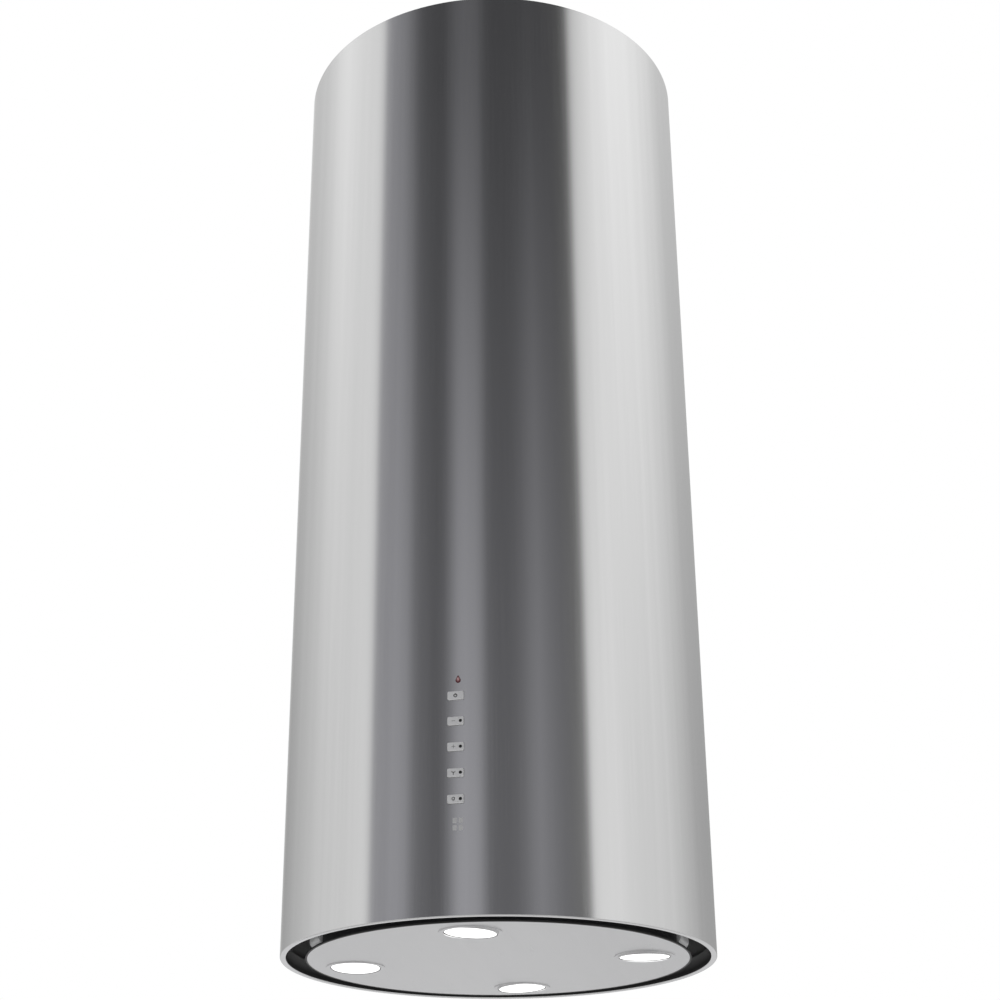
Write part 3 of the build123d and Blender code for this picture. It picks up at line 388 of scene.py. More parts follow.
# %% Zinc flakes, moulded skin and dust
def zinc_flakes():
    """Frosty crystals of hot-dip galvanising, each a little lighter or darker."""
    tree, ins, outs = new_group(
        "zinc_flakes",
        [("Vector", "vector", None), ("Flakes per Metre", "value", 110.0),
         ("Light", "colour", (0.7, 0.71, 0.72, 1)), ("Dark", "colour", (0.5, 0.51, 0.53, 1))],
        [("Color", "colour", None), ("Roughness", "value", None)])
    cells = add_node(tree, "ShaderNodeTexVoronoi", {"Randomness": 1.0})
    grey_of = add_node(tree, "ShaderNodeRGBToBW")
    join(tree, ins.outputs["Vector"], cells.inputs["Vector"], ins.outputs["Flakes per Metre"],
         cells.inputs["Scale"], cells.outputs["Color"], grey_of.inputs["Color"])
    share = grey_of.outputs["Val"]
    join(tree, mixed(tree, share, ins.outputs["Dark"], ins.outputs["Light"]), outs.inputs["Color"],
         spread(tree, share, 0.38, 0.52), outs.inputs["Roughness"])
    return tree


def moulded_skin():
    """Fine spark-eroded texture of a moulding, with slow changes of tone."""
    tree, ins, outs = new_group(
        "moulded_skin",
        [("Vector", "vector", None), ("Color", "colour", (0.1, 0.1, 0.1, 1)),
         ("Tone", "value", 0.15), ("Roughness", "value", 0.5)],
        [("Color", "colour", None), ("Roughness", "value", None), ("Height", "value", None)])
    slow = noise(tree, ins.outputs["Vector"], 35.0, detail=3.0)
    grit = noise(tree, ins.outputs["Vector"], 2600.0, detail=2.0)
    darker = number(tree, "SUBTRACT", 1.0, ins.outputs["Tone"])
    lift = add_node(tree, "ShaderNodeMath", {1: 0.12}, operation="MULTIPLY_ADD")
    join(tree, scaled(tree, ins.outputs["Color"], spread(tree, slow, darker, 1.0)), outs.inputs["Color"],
         grit, lift.inputs[0], ins.outputs["Roughness"], lift.inputs[2],
         lift.outputs[0], outs.inputs["Roughness"], grit, outs.inputs["Height"])
    return tree


def settled_dust():
    """Grey dust and grease film in soft patches over a colour."""
    tree, ins, outs = new_group(
        "settled_dust",
        [("Vector", "vector", None), ("Color", "colour", (0.5, 0.5, 0.5, 1)),
         ("Roughness", "value", 0.4), ("Amount", "value", 0.2)],
        [("Color", "colour", None), ("Roughness", "value", None)])
    patches = noise(tree, ins.outputs["Vector"], 14.0, detail=6.0, rough=0.65)
    share = spread(tree, patches, 0.0, ins.outputs["Amount"])
    join(tree, mixed(tree, share, ins.outputs["Color"], (0.32, 0.30, 0.27, 1)), outs.inputs["Color"],
         number(tree, "ADD", ins.outputs["Roughness"], share), outs.inputs["Roughness"])
    return tree


EFFECTS = {made.name: made for made in (brushed_lines(), zinc_flakes(), moulded_skin(), settled_dust())}
print("shared effects", sorted(EFFECTS))


# %% [markdown]
# ## Finishes
# Each finish starts from a Principled shader. Object coordinates are in metres and stay with the piece
# when it moves, so a scale of 1000 means one feature to a millimetre.

# %% Finish helpers
def start_finish(name, metallic=0.0, **sockets):
    """A new material with a Principled shader. Returns the material, its tree, shader and coordinates."""
    finish = bpy.data.materials.new(name)
    finish.use_nodes = True
    tree = finish.node_tree
    tree.nodes.clear()
    shader = add_node(tree, "ShaderNodeBsdfPrincipled")
    shader.inputs["Metallic"].default_value = metallic
    for socket, value in sockets.items():
        shader.inputs[socket.replace("_", " ")].default_value = value
    join(tree, shader.outputs["BSDF"], add_node(tree, "ShaderNodeOutputMaterial").inputs["Surface"])
    place = add_node(tree, "ShaderNodeTexCoord").outputs["Object"]
    return finish, tree, shader, place


def use_effect(tree, name, **inputs):
    """Places a shared effect and fills its inputs with sockets or values."""
    made = add_node(tree, "ShaderNodeGroup", node_tree=EFFECTS[name])
    for socket_name, value in inputs.items():
        feed(tree, value, made.inputs[socket_name.replace("_", " ")])
    return made


def coat(tree, shader, colour, rough):
    """Feeds a colour and a roughness into a shader."""
    join(tree, colour, shader.inputs["Base Color"], rough, shader.inputs["Roughness"])


def raise_skin(tree, shader, height_value, strength, depth):
    """Feeds a height into the shader's normal through a Bump node."""
    bump = add_node(tree, "ShaderNodeBump", {"Strength": strength, "Distance": depth})
    join(tree, height_value, bump.inputs["Height"], bump.outputs["Normal"], shader.inputs["Normal"])


def grey(value):
    """A grey as a colour."""
    return (value, value, value, 1)


# %% [markdown]
# ### Brushed stainless steel
# The tube's sheet is brushed along its length before it is rolled, so its lines run up and down and
# reflections stay crisp from side to side. A Mapping node squeezes the noise across the grain.

# %% Brushed steels
def brushed_steel(name, light, dark, low, high, grain, film=0.0, bump=0.02):
    """Steel brushed along one axis. grain is the noise scale along X, Y and Z."""
    finish, tree, shader, place = start_finish(name, metallic=1.0)
    stretch = add_node(tree, "ShaderNodeMapping", {"Scale": grain})
    join(tree, place, stretch.inputs["Vector"])
    lines = use_effect(tree, "brushed_lines", Vector=stretch.outputs["Vector"], Light=grey(light),
                       Dark=grey(dark), Roughness_Low=low, Roughness_High=high)
    skin = lines
    if film:
        skin = use_effect(tree, "settled_dust", Vector=place, Color=lines.outputs["Color"],
                          Roughness=lines.outputs["Roughness"], Amount=film)
    coat(tree, shader, skin.outputs["Color"], skin.outputs["Roughness"])
    raise_skin(tree, shader, lines.outputs["Height"], bump, BRUSH_DEPTH)
    return finish


BRUSH_DEPTH = 0.02 * MM
ALONG_Z = (1500, 1500, 7)
ALONG_Y = (1500, 7, 1500)
STEELS = {
    "shell_steel": dict(light=0.76, dark=0.70, low=0.13, high=0.18, grain=ALONG_Z),
    "panel_steel": dict(light=0.70, dark=0.675, low=0.27, high=0.32, grain=ALONG_Y, bump=0.006),
    "magnet_nickel": dict(light=0.70, dark=0.64, low=0.18, high=0.3, grain=(900, 900, 60)),
    "fastener_steel": dict(light=0.66, dark=0.56, low=0.28, high=0.42, grain=(700, 700, 700)),
    "spring_steel": dict(light=0.60, dark=0.50, low=0.2, high=0.32, grain=(900, 900, 900)),
    "ring_satin": dict(light=0.74, dark=0.68, low=0.26, high=0.36, grain=(1300, 1300, 1300)),
    "can_aluminium": dict(light=0.72, dark=0.62, low=0.3, high=0.42, grain=(500, 500, 40), film=0.1),
    "filter_aluminium": dict(light=0.74, dark=0.66, low=0.3, high=0.42, grain=(12, 900, 900), film=0.12),
    "mesh_aluminium": dict(light=0.72, dark=0.58, low=0.32, high=0.46, grain=(400, 400, 400), film=0.25),
}
FINISHES = {name: brushed_steel(name, **look) for name, look in STEELS.items()}


# %% [markdown]
# The sheet is brushed on one side only. Inside the tube it keeps its dull rolled surface under a thin
# film. Towards the folded lip at the bottom the film is painted black, as painted shade where little light
# reaches into the slot, so that the slot reads as a dark line. The wall's own finish finds the inside by its
# distance from the tube's axis, and the lip by its height.

# %% Dull inside of the wall, with painted shade at the lip
PAINTED_SHADE_FOOT, PAINTED_SHADE_TOP = 4.0 * MM, 14.5 * MM  # over the rim: painted shade, black up to the first, fading to the worn grey film by the second
BARE_RIM = 0.9 * MM                      # the rim's underside stays bare up to here
BARE_WALL = 0.6 * MM                     # and the outer side of the wall, in to here


def dull_inside_with_painted_shade(finish):
    """Mixes a rough film and a black lip of painted shade into a finish, inside the sheet and above the rim.
    """
    tree = finish.node_tree
    shader = next(n for n in tree.nodes if n.type == "BSDF_PRINCIPLED")
    place = next(n for n in tree.nodes if n.type == "TEX_COORD").outputs["Object"]
    bare = shader.inputs["Base Color"].links[0].from_socket
    smooth = shader.inputs["Roughness"].links[0].from_socket
    axes = add_node(tree, "ShaderNodeSeparateXYZ")
    join(tree, place, axes.inputs[0])
    away = length_of(tree, scaled(tree, place, (1, 1, 0)))
    inside = number(tree, "LESS_THAN", away, tube_radius - BARE_WALL)
    above = number(tree, "GREATER_THAN", axes.outputs["Z"], rim_z + BARE_RIM)
    mask = number(tree, "MULTIPLY", inside, above)
    # painted shade: near black at the lip's foot, fading up to the grey film by height
    lift = spread(tree, axes.outputs["Z"], first=rim_z + PAINTED_SHADE_FOOT, last=rim_z + PAINTED_SHADE_TOP)
    worn = mixed(tree, noise(tree, place, 22.0), grey(0.30), grey(0.42))
    film = mixed(tree, lift, grey(0.012), worn)
    rougher = add_node(tree, "ShaderNodeMix", {"B": 0.45}, data_type="FLOAT")
    join(tree, mask, rougher.inputs["Factor"], smooth, rougher.inputs["A"],
         number(tree, "SUBTRACT", 1.0, mask), shader.inputs["Metallic"])
    coat(tree, shader, mixed(tree, mask, bare, film), rougher.outputs["Result"])


dull_inside_with_painted_shade(FINISHES["shell_steel"])


# %% [markdown]
# ### Galvanised sheet
# The frame inside is cheap galvanised sheet with frosty flakes and a film of dust.

# %% Galvanised sheet
def galvanised():
    """Zinc-coated sheet for the parts that nobody sees from outside."""
    finish, tree, shader, place = start_finish("galvanised_steel", metallic=1.0)
    flakes = use_effect(tree, "zinc_flakes", Vector=place, Flakes_per_Metre=140.0)
    dust = use_effect(tree, "settled_dust", Vector=place, Color=flakes.outputs["Color"],
                      Roughness=flakes.outputs["Roughness"], Amount=0.25)
    coat(tree, shader, dust.outputs["Color"], dust.outputs["Roughness"])
    return finish


FINISHES["galvanised_steel"] = galvanised()


# %% [markdown]
# ### Mouldings, paint and rubber
# All of them are one family: a base colour that varies slowly, and a fine texture from the mould. The key
# caps are sprayed satin silver with little metal in the paint, so they stay lighter than the polished wall
# round them. The guides are white nylon, a little cloudy, and their white is painted highlight for the slot's
# ends.

# %% Mouldings
def moulding(name, colour=None, tone=0.15, rough=0.45, texture=0.25, depth=0.06 * MM, **sockets):
    """A plastic, rubber or paint. Without a colour it takes the one of the record's slot of that name."""
    finish, tree, shader, place = start_finish(name, **sockets)
    skin = use_effect(tree, "moulded_skin", Vector=place, Color=colour or (*tint_of[name], 1), Tone=tone,
                      Roughness=rough)
    coat(tree, shader, skin.outputs["Color"], skin.outputs["Roughness"])
    raise_skin(tree, shader, skin.outputs["Height"], texture, depth)
    return finish


MOULDINGS = {
    "latch_plastic": {},
    "volute_plastic": dict(rough=0.5),
    "impeller_plastic": dict(rough=0.42),
    "motor_paint": dict(rough=0.3, Coat_Weight=0.3),
    "pan_steel": dict(rough=0.38, texture=0.1),
    "flap_plastic": dict(rough=0.48),
    "terminal_plastic": dict(rough=0.4),
    "gland_nylon": dict(rough=0.4),
    "capacitor_case": dict(rough=0.35),
    "switch_plastic": dict(rough=0.3),
    "cable_sleeve": dict(rough=0.55),
    "key_satin": dict(colour=grey(0.88), tone=0.05, rough=0.3, texture=0.08, depth=0.03 * MM, metallic=0.05),
    # white guides: painted highlight at the slot's ends
    "guide_nylon": dict(colour=grey(0.92), tone=0.04, rough=0.35, texture=0.1, depth=0.05 * MM),
}
for slot_name, look in MOULDINGS.items():
    FINISHES[slot_name] = moulding(slot_name, **look)


# %% [markdown]
# ### Warning lens
# The small lens is a dark red moulding round a pale core. Its colour goes from one to the other with the
# distance from its middle, measured in shares of its own half width and half height.

# %% Warning lens
CORE_SHARE, RIM_SHARE = 0.15, 0.75


def warning_glass():
    """Deep red plastic with a pale core."""
    finish, tree, shader, place = start_finish("warning_red", Coat_Weight=0.6)
    low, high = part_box("warning_lens")
    from_middle = add_node(tree, "ShaderNodeVectorMath", {1: (low + high) / 2}, operation="SUBTRACT")
    join(tree, place, from_middle.inputs[0])
    shares = scaled(tree, from_middle.outputs[0], (2 / (high.x - low.x), 0, 2 / (high.z - low.z)))
    rim = spread(tree, length_of(tree, shares), first=CORE_SHARE, last=RIM_SHARE)
    deep = mixed(tree, noise(tree, place, 700.0), (0.10, 0.012, 0.018, 1), (0.16, 0.02, 0.03, 1))
    coat(tree, shader, mixed(tree, rim, (0.74, 0.44, 0.44, 1), deep),
         spread(tree, noise(tree, place, 900.0), 0.10, 0.18))
    return finish


FINISHES["warning_red"] = warning_glass()


# %% [markdown]
# ### Circuit board
# Green lacquer over copper. Where the copper runs, the lacquer looks lighter, and a brick pattern's thin
# joints give such tracks.

# %% Board finish
def board_finish():
    """Solder-masked board with straight tracks."""
    finish, tree, shader, place = start_finish("board_laminate", Coat_Weight=0.4)
    tracks = add_node(tree, "ShaderNodeTexBrick", {"Scale": 160.0, "Mortar Size": 0.12})
    join(tree, place, tracks.inputs["Vector"])
    green = mixed(tree, tracks.outputs["Fac"], (*tint_of["board_laminate"], 1), (0.05, 0.26, 0.12, 1))
    coat(tree, shader, green, spread(tree, noise(tree, place, 300.0), 0.22, 0.36))
    return finish


FINISHES["board_laminate"] = board_finish()


# %% [markdown]
# ### Lit lamp glass
# A lamp that is on shows as an even white disc, because its glass is frosted. The frosting is a fine
# dimple pattern, and the light falls off a very little between the dimples.

# %% Lamp glass
def lamp_glass():
    """Frosted glass that glows evenly."""
    finish, tree, shader, place = start_finish("lens_glass", Emission_Strength=1.5, IOR=1.5)
    dimples = add_node(tree, "ShaderNodeTexVoronoi", {"Scale": 900.0})
    join(tree, place, dimples.inputs["Vector"])
    glow = spread(tree, dimples.outputs["Distance"], 1.0, 0.93)
    join(tree, mixed(tree, glow, (0.80, 0.82, 0.86, 1), (1.0, 1.0, 0.99, 1)), shader.inputs["Emission Color"])
    coat(tree, shader, mixed(tree, glow, grey(0.7), grey(0.86)),
         spread(tree, noise(tree, place, 700.0), 0.25, 0.4))
    raise_skin(tree, shader, dimples.outputs["Distance"], 0.1, 0.1 * MM)
    return finish


def bulb_glass():
    """Clear glass of the bulbs, a little dusty."""
    finish, tree, shader, place = start_finish("bulb_glass", IOR=1.5, Transmission_Weight=0.9)
    film = noise(tree, place, 60.0)
    coat(tree, shader, mixed(tree, film, grey(0.9), grey(0.98)), spread(tree, film, 0.03, 0.12))
    return finish


FINISHES["lens_glass"] = lamp_glass()
FINISHES["bulb_glass"] = bulb_glass()


# %% [markdown]
# ### Printing
# The marks on the keys are screen-printed. Ink lies a few hundredths of a millimetre proud of the cap and is
# uneven. The same even tone with thin spots serves the etched mark, the dark windows and the black seals.

# %% Printed inks and etched marks
def ink_finish(name, tone, rough):
    """A flat tone with lighter spots."""
    finish, tree, shader, place = start_finish(name)
    coat(tree, shader, mixed(tree, noise(tree, place, 2400.0), grey(tone), grey(tone * 1.5 + 0.02)),
         spread(tree, noise(tree, place, 900.0), rough - 0.06, rough + 0.06))
    return finish


INKS = {"dark_ink": (0.02, 0.5), "grey_ink": (0.30, 0.5), "etched_mark": (0.52, 0.6),
        "tinted_window": (0.008, 0.15), "seal_rubber": (0.20, 0.6), "edge_rubber": (0.02, 0.55)}
for ink_name, (tone, rough) in INKS.items():
    FINISHES[ink_name] = ink_finish(ink_name, tone, rough)


# %% Floor finish
def floor_finish():
    """Matt pale floor paint. From below the floor is clear, so it never hides the hood."""
    finish, tree, shader, place = start_finish("floor_paint")
    coat(tree, shader, mixed(tree, noise(tree, place, 1.5), grey(0.80), grey(0.84)),
         spread(tree, noise(tree, place, 9.0), 0.55, 0.7))
    below = add_node(tree, "ShaderNodeNewGeometry").outputs["Backfacing"]
    clear = add_node(tree, "ShaderNodeBsdfTransparent")
    either = add_node(tree, "ShaderNodeMixShader")
    surface = next(n for n in tree.nodes if n.type == "OUTPUT_MATERIAL").inputs["Surface"]
    join(tree, below, either.inputs["Fac"], shader.outputs["BSDF"], either.inputs[1],
         clear.outputs["BSDF"], either.inputs[2], either.outputs["Shader"], surface)
    return finish


floor.data.materials.append(floor_finish())


# %% Put each finish on its CAD nodes
def paint(piece, slot_name):
    """Gives a piece the one finish of the given name."""
    piece.data.materials.clear()
    piece.data.materials.append(FINISHES[slot_name])


for node_name, piece in frame["nodes"].items():
    paint(piece, slot_of[node_name])
print("finishes", len(FINISHES), "on", len(frame["nodes"]), "nodes")


# %% [markdown]
# ## Making pieces
# A finished piece is a plain mesh whose object sits at the origin. These helpers turn a bmesh or an
# evaluated modifier stack into such a piece and hang it on its body.

# %% Piece helpers
def body_of(node_name):
    """Name of the CAD body that holds a node."""
    return next(body for body, nodes in record["behaviour"]["bodies"].items() if node_name in nodes)


def finish_piece(name, mesh, body, slot_name, smooth_angle=35.0, finish_name=None):
    """Links a mesh as a piece on a body, smooth except over sharp edges."""
    piece = new_object(name, mesh)
    mesh.shade_smooth()
    mesh.set_sharp_from_angle(angle=math.radians(smooth_angle))
    paint(piece, finish_name or slot_name)
    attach(piece, body)
    return piece


def from_bmesh(name, shape, body, slot_name, smooth_angle=35.0, finish_name=None):
    """Ends a bmesh as a piece, with its faces turned outwards."""
    bmesh.ops.recalc_face_normals(shape, faces=shape.faces)
    return finish_piece(name, mesh_of(shape, name), body, slot_name, smooth_angle, finish_name)


def evaluated_mesh(source, name):
    """The mesh that an object's modifiers make. The object itself is removed."""
    graph = bpy.context.evaluated_depsgraph_get()
    mesh = bpy.data.meshes.new_from_object(source.evaluated_get(graph), depsgraph=graph)
    mesh.name = name
    bpy.data.objects.remove(source)
    return mesh


def cut_out(source, cutter, name, use_self=False):
    """Cuts one object out of another with an exact Boolean. Both are removed, and the mesh is returned."""
    cut = source.modifiers.new("cut", "BOOLEAN")
    cut.operation = "DIFFERENCE"
    cut.solver = "EXACT"
    cut.use_self = use_self
    cut.object = cutter
    mesh = evaluated_mesh(source, name)
    bpy.data.objects.remove(cutter)
    return mesh


# %% [markdown]
# ## The tube
# A polished tube shows every facet of its mesh in its reflections. The CAD mesh is coarse round the tube,
# so the wall is turned again here, from the same profile, with a face to every degree. Its openings and
# its back seam are cut with a Boolean, and the outer wall's normals are then set to point straight away
# from the axis.

# %% Tube profile
sheet = 1.0 * MM
rim_width = tube_radius - 184.75 * MM
rim_fold = 14.0 * MM
edge_round = 0.9 * MM


def arc(centre_r, centre_z, radius, first, last, steps):
    """Points of an arc in the (r, z) plane, angles in degrees."""
    points = []
    for step in range(steps + 1):
        a = math.radians(first + (last - first) * step / steps)
        points.append((centre_r + radius * math.cos(a), centre_z + radius * math.sin(a)))
    return points


def tube_profile():
    """Closed section of the wall and its folded rim, outer top corner first."""
    inside = tube_radius - rim_width
    outline = [(tube_radius, rim_z + tube_height)]
    outline += arc(tube_radius - edge_round, rim_z + edge_round, edge_round, 0, -90, 5)
    outline += arc(inside + edge_round, rim_z + edge_round, edge_round, -90, -180, 5)
    outline += [(inside, rim_z + rim_fold), (inside + sheet, rim_z + rim_fold)]
    outline += [(inside + sheet, rim_z + sheet), (tube_radius - sheet, rim_z + sheet)]
    outline += [(tube_radius - sheet, rim_z + tube_height)]
    return outline


def turned(outline, segments):
    """A bmesh ring with the given section round the Z axis."""
    shape = bmesh.new()
    rings = [[shape.verts.new((r * math.cos(a), r * math.sin(a), z)) for r, z in outline]
             for a in angles(segments)]
    for near, far in zip(rings, rings[1:] + rings[:1]):
        bridge(shape, near, far)
    bmesh.ops.recalc_face_normals(shape, faces=shape.faces)
    return shape


# %% Openings for keys, warning lens and seam
def rounded_box_outline(half_x, half_z, corner, steps=4):
    """Outline of a rounded rectangle in the XZ plane."""
    points = []
    for cx, cz, first in ((1, 1, 0), (-1, 1, 90), (-1, -1, 180), (1, -1, 270)):
        points += arc(cx * (half_x - corner), cz * (half_z - corner), corner, first, first + 90, steps)
    return points


def prism_along_y(shape, outline, middle, y_front, y_back):
    """Adds a closed prism to a bmesh, its XZ outline pushed from y_front to y_back."""
    front = [shape.verts.new((middle.x + x, y_front, middle.z + z)) for x, z in outline]
    back = [shape.verts.new((middle.x + x, y_back, middle.z + z)) for x, z in outline]
    shape.faces.new(front)
    shape.faces.new(list(reversed(back)))
    for i in range(len(outline)):
        j = (i + 1) % len(outline)
        shape.faces.new((front[j], front[i], back[i], back[j]))


def drop_outline(width, height, grow, steps=12):
    """Outline of a drop with its point upwards, in the XZ plane: two rounds and their tangents."""
    large, small = width / 2, 0.2 * width / 2
    low_centre, high_centre = large - height / 2, height / 2 - small
    lean = math.degrees(math.asin((large - small) / (high_centre - low_centre)))
    points = arc(0, high_centre, small + grow, lean, 180 - lean, 6)
    points += arc(0, low_centre, large + grow, 180 - lean, 360 + lean, 2 * steps)
    return points


KEY_GAP = 0.3 * MM
LENS_GAP = 0.15 * MM
cap_half_width, cap_half_height, cap_corner = 6.7 * MM, 3.55 * MM, 1.4 * MM
seam_half_width, seam_depth = 0.4 * MM, 0.3 * MM
key_names = sorted(n for n in frame["nodes"] if n.startswith("key_") and n[4:].isdigit())


def wall_cutters():
    """Solids that are taken out of the wall: key windows, the lens window and the back seam."""
    shape = bmesh.new()
    front, back = -tube_radius - 2 * MM, -tube_radius + 5 * MM
    window = rounded_box_outline(cap_half_width + KEY_GAP, cap_half_height + KEY_GAP, cap_corner)
    for name in key_names:
        prism_along_y(shape, window, centre(name), front, back)
    low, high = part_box("warning_lens")
    prism_along_y(shape, drop_outline(high.x - low.x, high.z - low.z, LENS_GAP), centre("warning_lens"),
                  front, back)
    seam = rounded_box_outline(seam_half_width, tube_height, 0.1 * MM, 1)
    prism_along_y(shape, seam, Vector((0, 0, rim_z + tube_height / 2)), tube_radius - seam_depth,
                  tube_radius + 1 * MM)
    bmesh.ops.recalc_face_normals(shape, faces=shape.faces)
    return mesh_of(shape, "wall_cutters")


# %% Cut the wall and set its normals
def tube_wall():
    """The polished tube as one piece, standing for the CAD shell."""
    blank = new_object("tube_blank", mesh_of(turned(tube_profile(), 360), "tube_blank"))
    mesh = cut_out(blank, new_object("wall_cutters", wall_cutters()), "tube_wall")
    piece = finish_piece("tube_wall", mesh, body_of("outer_shell"), "shell_steel")
    normals = [corner.vector.copy() for corner in mesh.corner_normals]
    for face in mesh.polygons:
        middle = face.center
        if abs(math.hypot(middle.x, middle.y) - tube_radius) < 0.1 * MM and abs(face.normal.z) < 0.2:
            for loop in face.loop_indices:
                spot = mesh.vertices[mesh.loops[loop].vertex_index].co
                normals[loop] = Vector((spot.x, spot.y, 0)).normalized()
    mesh.normals_split_custom_set(normals)
    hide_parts("outer_shell")
    return piece


wall_piece = tube_wall()
print("tube wall faces", len(wall_piece.data.polygons))


# %% [markdown]
# ## Marks on the keys
# The top key switches the hood on and off. The others set the fan and the lamps, and each has a small dark
# window with a light behind it. The symbols are plain ones, drawn here as bars and rings in millimetres
# from the middle of each cap.

# %% Bars and rings of ink
def bar(x0, z0, x1, z1, width):
    """Outline of one straight stroke."""
    along = Vector((x1 - x0, z1 - z0)).normalized()
    side = Vector((-along.y, along.x)) * width / 2
    tip = along * width / 2
    first, last = Vector((x0, z0)) - tip, Vector((x1, z1)) + tip
    return [tuple(v * MM) for v in (first + side, first - side, last - side, last + side)]


def ring_bars(x, z, ring_radius, width, first=0, last=360, steps=16):
    """Strokes round a ring or a part of one."""
    corners = arc(x, z, ring_radius, first, last, steps)
    return [bar(*corners[i], *corners[i + 1], width) for i in range(steps)]


STROKE = 0.5
FAN_BLADES = [bar(-1.6 + 0.5 * c, 0.5 * d, -1.6 + 1.6 * c, 1.6 * d, 0.9)
              for c, d in [(math.cos(a), math.sin(a)) for a in (0.5, 2.6, 4.7)]]
SYMBOLS = {
    "key_1": ring_bars(0, -0.1, 1.25, 0.62, 125, 415) + [bar(0, 0.4, 0, 1.5, 0.62)],
    "key_2": [bar(-2.9, 0, -0.3, 0, STROKE)],
    "key_3": [bar(-2.9, 0, -0.3, 0, STROKE), bar(-1.6, -1.3, -1.6, 1.3, STROKE)],
    "key_4": FAN_BLADES + ring_bars(-1.6, 0, 0.35, 0.4, steps=8),
    "key_5": ring_bars(-1.6, 0.3, 1.1, STROKE) + [bar(-2.1, -1.5, -1.1, -1.5, STROKE)],
}
INK_PROUD, INK_DEPTH = 0.03 * MM, 0.2 * MM
WINDOW_OFFSET = 4.2 * MM
WINDOW_RADIUS = 1.36 * MM
WINDOW_SECTION = ((1.0, 0.8), (1.0, 0.3), (0.85, 0.18), (0.5, 0.12))  # share of the radius, depth in mm


# %% Print the symbols and set the windows
def key_marks(name):
    """The printed symbol of one key, and the window of a key that has one."""
    face_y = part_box(name)[0].y
    middle = centre(name)
    shape = bmesh.new()
    for outline in SYMBOLS[name]:
        prism_along_y(shape, outline, middle, face_y - INK_PROUD, face_y + INK_DEPTH)
    from_bmesh(name + "_symbol", shape, name, "switch_plastic", 20.0,
               "dark_ink" if name == "key_1" else "grey_ink")
    if name == "key_1":
        return
    shape = bmesh.new()
    at = middle + Vector((WINDOW_OFFSET, 0, 0))
    rings = [[shape.verts.new((at.x + share * WINDOW_RADIUS * math.cos(a), face_y + depth * MM,
                               at.z + share * WINDOW_RADIUS * math.sin(a))) for a in angles(24)]
             for share, depth in WINDOW_SECTION]
    for near, far in zip(rings, rings[1:]):
        bridge(shape, near, far)
    shape.faces.new(rings[0])
    shape.faces.new(rings[-1])
    from_bmesh(name + "_window", shape, name, "switch_plastic", 40.0, "tinted_window")


for key_name in key_names:
    key_marks(key_name)
print("marked", key_names)

# %% [markdown]
# ## The etched light mark
# Below the keys a small pale mark of four squares is etched into the tube. It follows the wall, so each
# square gets its own distance from the axis.

# %% Four small squares on the wall
mark_x, mark_height = 1.8 * MM, 73.3 * MM
square_half = (1.75 * MM, 2.15 * MM)
square_step = (2.45 * MM, 2.95 * MM)
square = rounded_box_outline(*square_half, 0.6 * MM)
shape = bmesh.new()
for column in (-1, 1):
    for row in (-1, 1):
        x = mark_x + column * square_step[0]
        wall_y = -math.sqrt(tube_radius ** 2 - x ** 2)
        prism_along_y(shape, square, Vector((x, 0, rim_z + mark_height + row * square_step[1])),
                      wall_y - INK_PROUD, wall_y + 0.3 * MM)
from_bmesh("light_mark", shape, body_of("outer_shell"), "shell_steel", 20.0, "etched_mark")


# %% [markdown]
# ## Lamp seals
# A black rubber bead sits between each glass and its trim ring. Each glass leans a little, so the bead's
# plane is measured on the glass itself: the middle and the normal of its lower face.

# %% Bead round each glass
def lower_face(node):
    """Middle and normal of the face of a node that looks down."""
    mesh = frame["nodes"][node].data
    middle, normal, area = Vector(), Vector(), 0.0
    for face in mesh.polygons:
        if face.normal.z < -0.9:
            middle += face.center * face.area
            normal += face.normal * face.area
            area += face.area
    return middle / area, normal.normalized()


def add_ring(shape, middle, normal, ring_radius, wire, segments=96, sides=8):
    """Adds a round bead to a bmesh, in the plane through middle."""
    across = normal.orthogonal().normalized()
    other = normal.cross(across)
    loops = []
    for a in angles(segments):
        out = across * math.cos(a) + other * math.sin(a)
        loops.append([shape.verts.new(middle + out * (ring_radius + wire * math.cos(b)) +
                                      normal * wire * math.sin(b)) for b in angles(sides)])
    for near, far in zip(loops, loops[1:] + loops[:1]):
        bridge(shape, near, far)


SEAL_WIRE, SEAL_INSET, SEAL_LIFT = 0.5 * MM, 0.45 * MM, 0.16 * MM
lens_names = sorted(n for n in frame["nodes"] if n.startswith("lamp_lens_"))
shape = bmesh.new()
for lens_name in lens_names:
    middle, normal = lower_face(lens_name)
    low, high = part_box(lens_name)
    lens_radius = (high - low).length / 2 / math.sqrt(2)
    add_ring(shape, middle - normal * SEAL_LIFT, normal, lens_radius - SEAL_INSET, SEAL_WIRE)
from_bmesh("lamp_seals", shape, body_of("panel_face"), "cable_sleeve", 60.0, "seal_rubber")
print("sealed", len(lens_names), "lamps")


# %% [markdown]
# ## Edging of the lamp panel
# The panel's cut edge is hidden in a black rubber edging. From below it is a thin dark line round the
# panel, and it hides the bright edge of the sheet from the front. It is turned like the tube's wall.

# %% Rubber edging
panel_radius = panel_high.x
edging_in, edging_out = panel_radius - 1.3 * MM, panel_radius + 0.3 * MM
edging_low, edging_top = panel_low.z - 0.12 * MM, panel_high.z + 0.3 * MM
edging_round = 0.3 * MM


def edging_section():
    """Closed section of the edging, lower inner corner first."""
    outline = [(edging_in, edging_low)]
    outline += arc(edging_out - edging_round, edging_low + edging_round, edging_round, -90, 0, 3)
    outline += arc(edging_out - edging_round, edging_top - edging_round, edging_round, 0, 90, 3)
    return outline + [(edging_in, edging_top)]


from_bmesh("panel_edging", turned(edging_section(), 240), body_of("panel_face"), "cable_sleeve", 50.0,
           "edge_rubber")
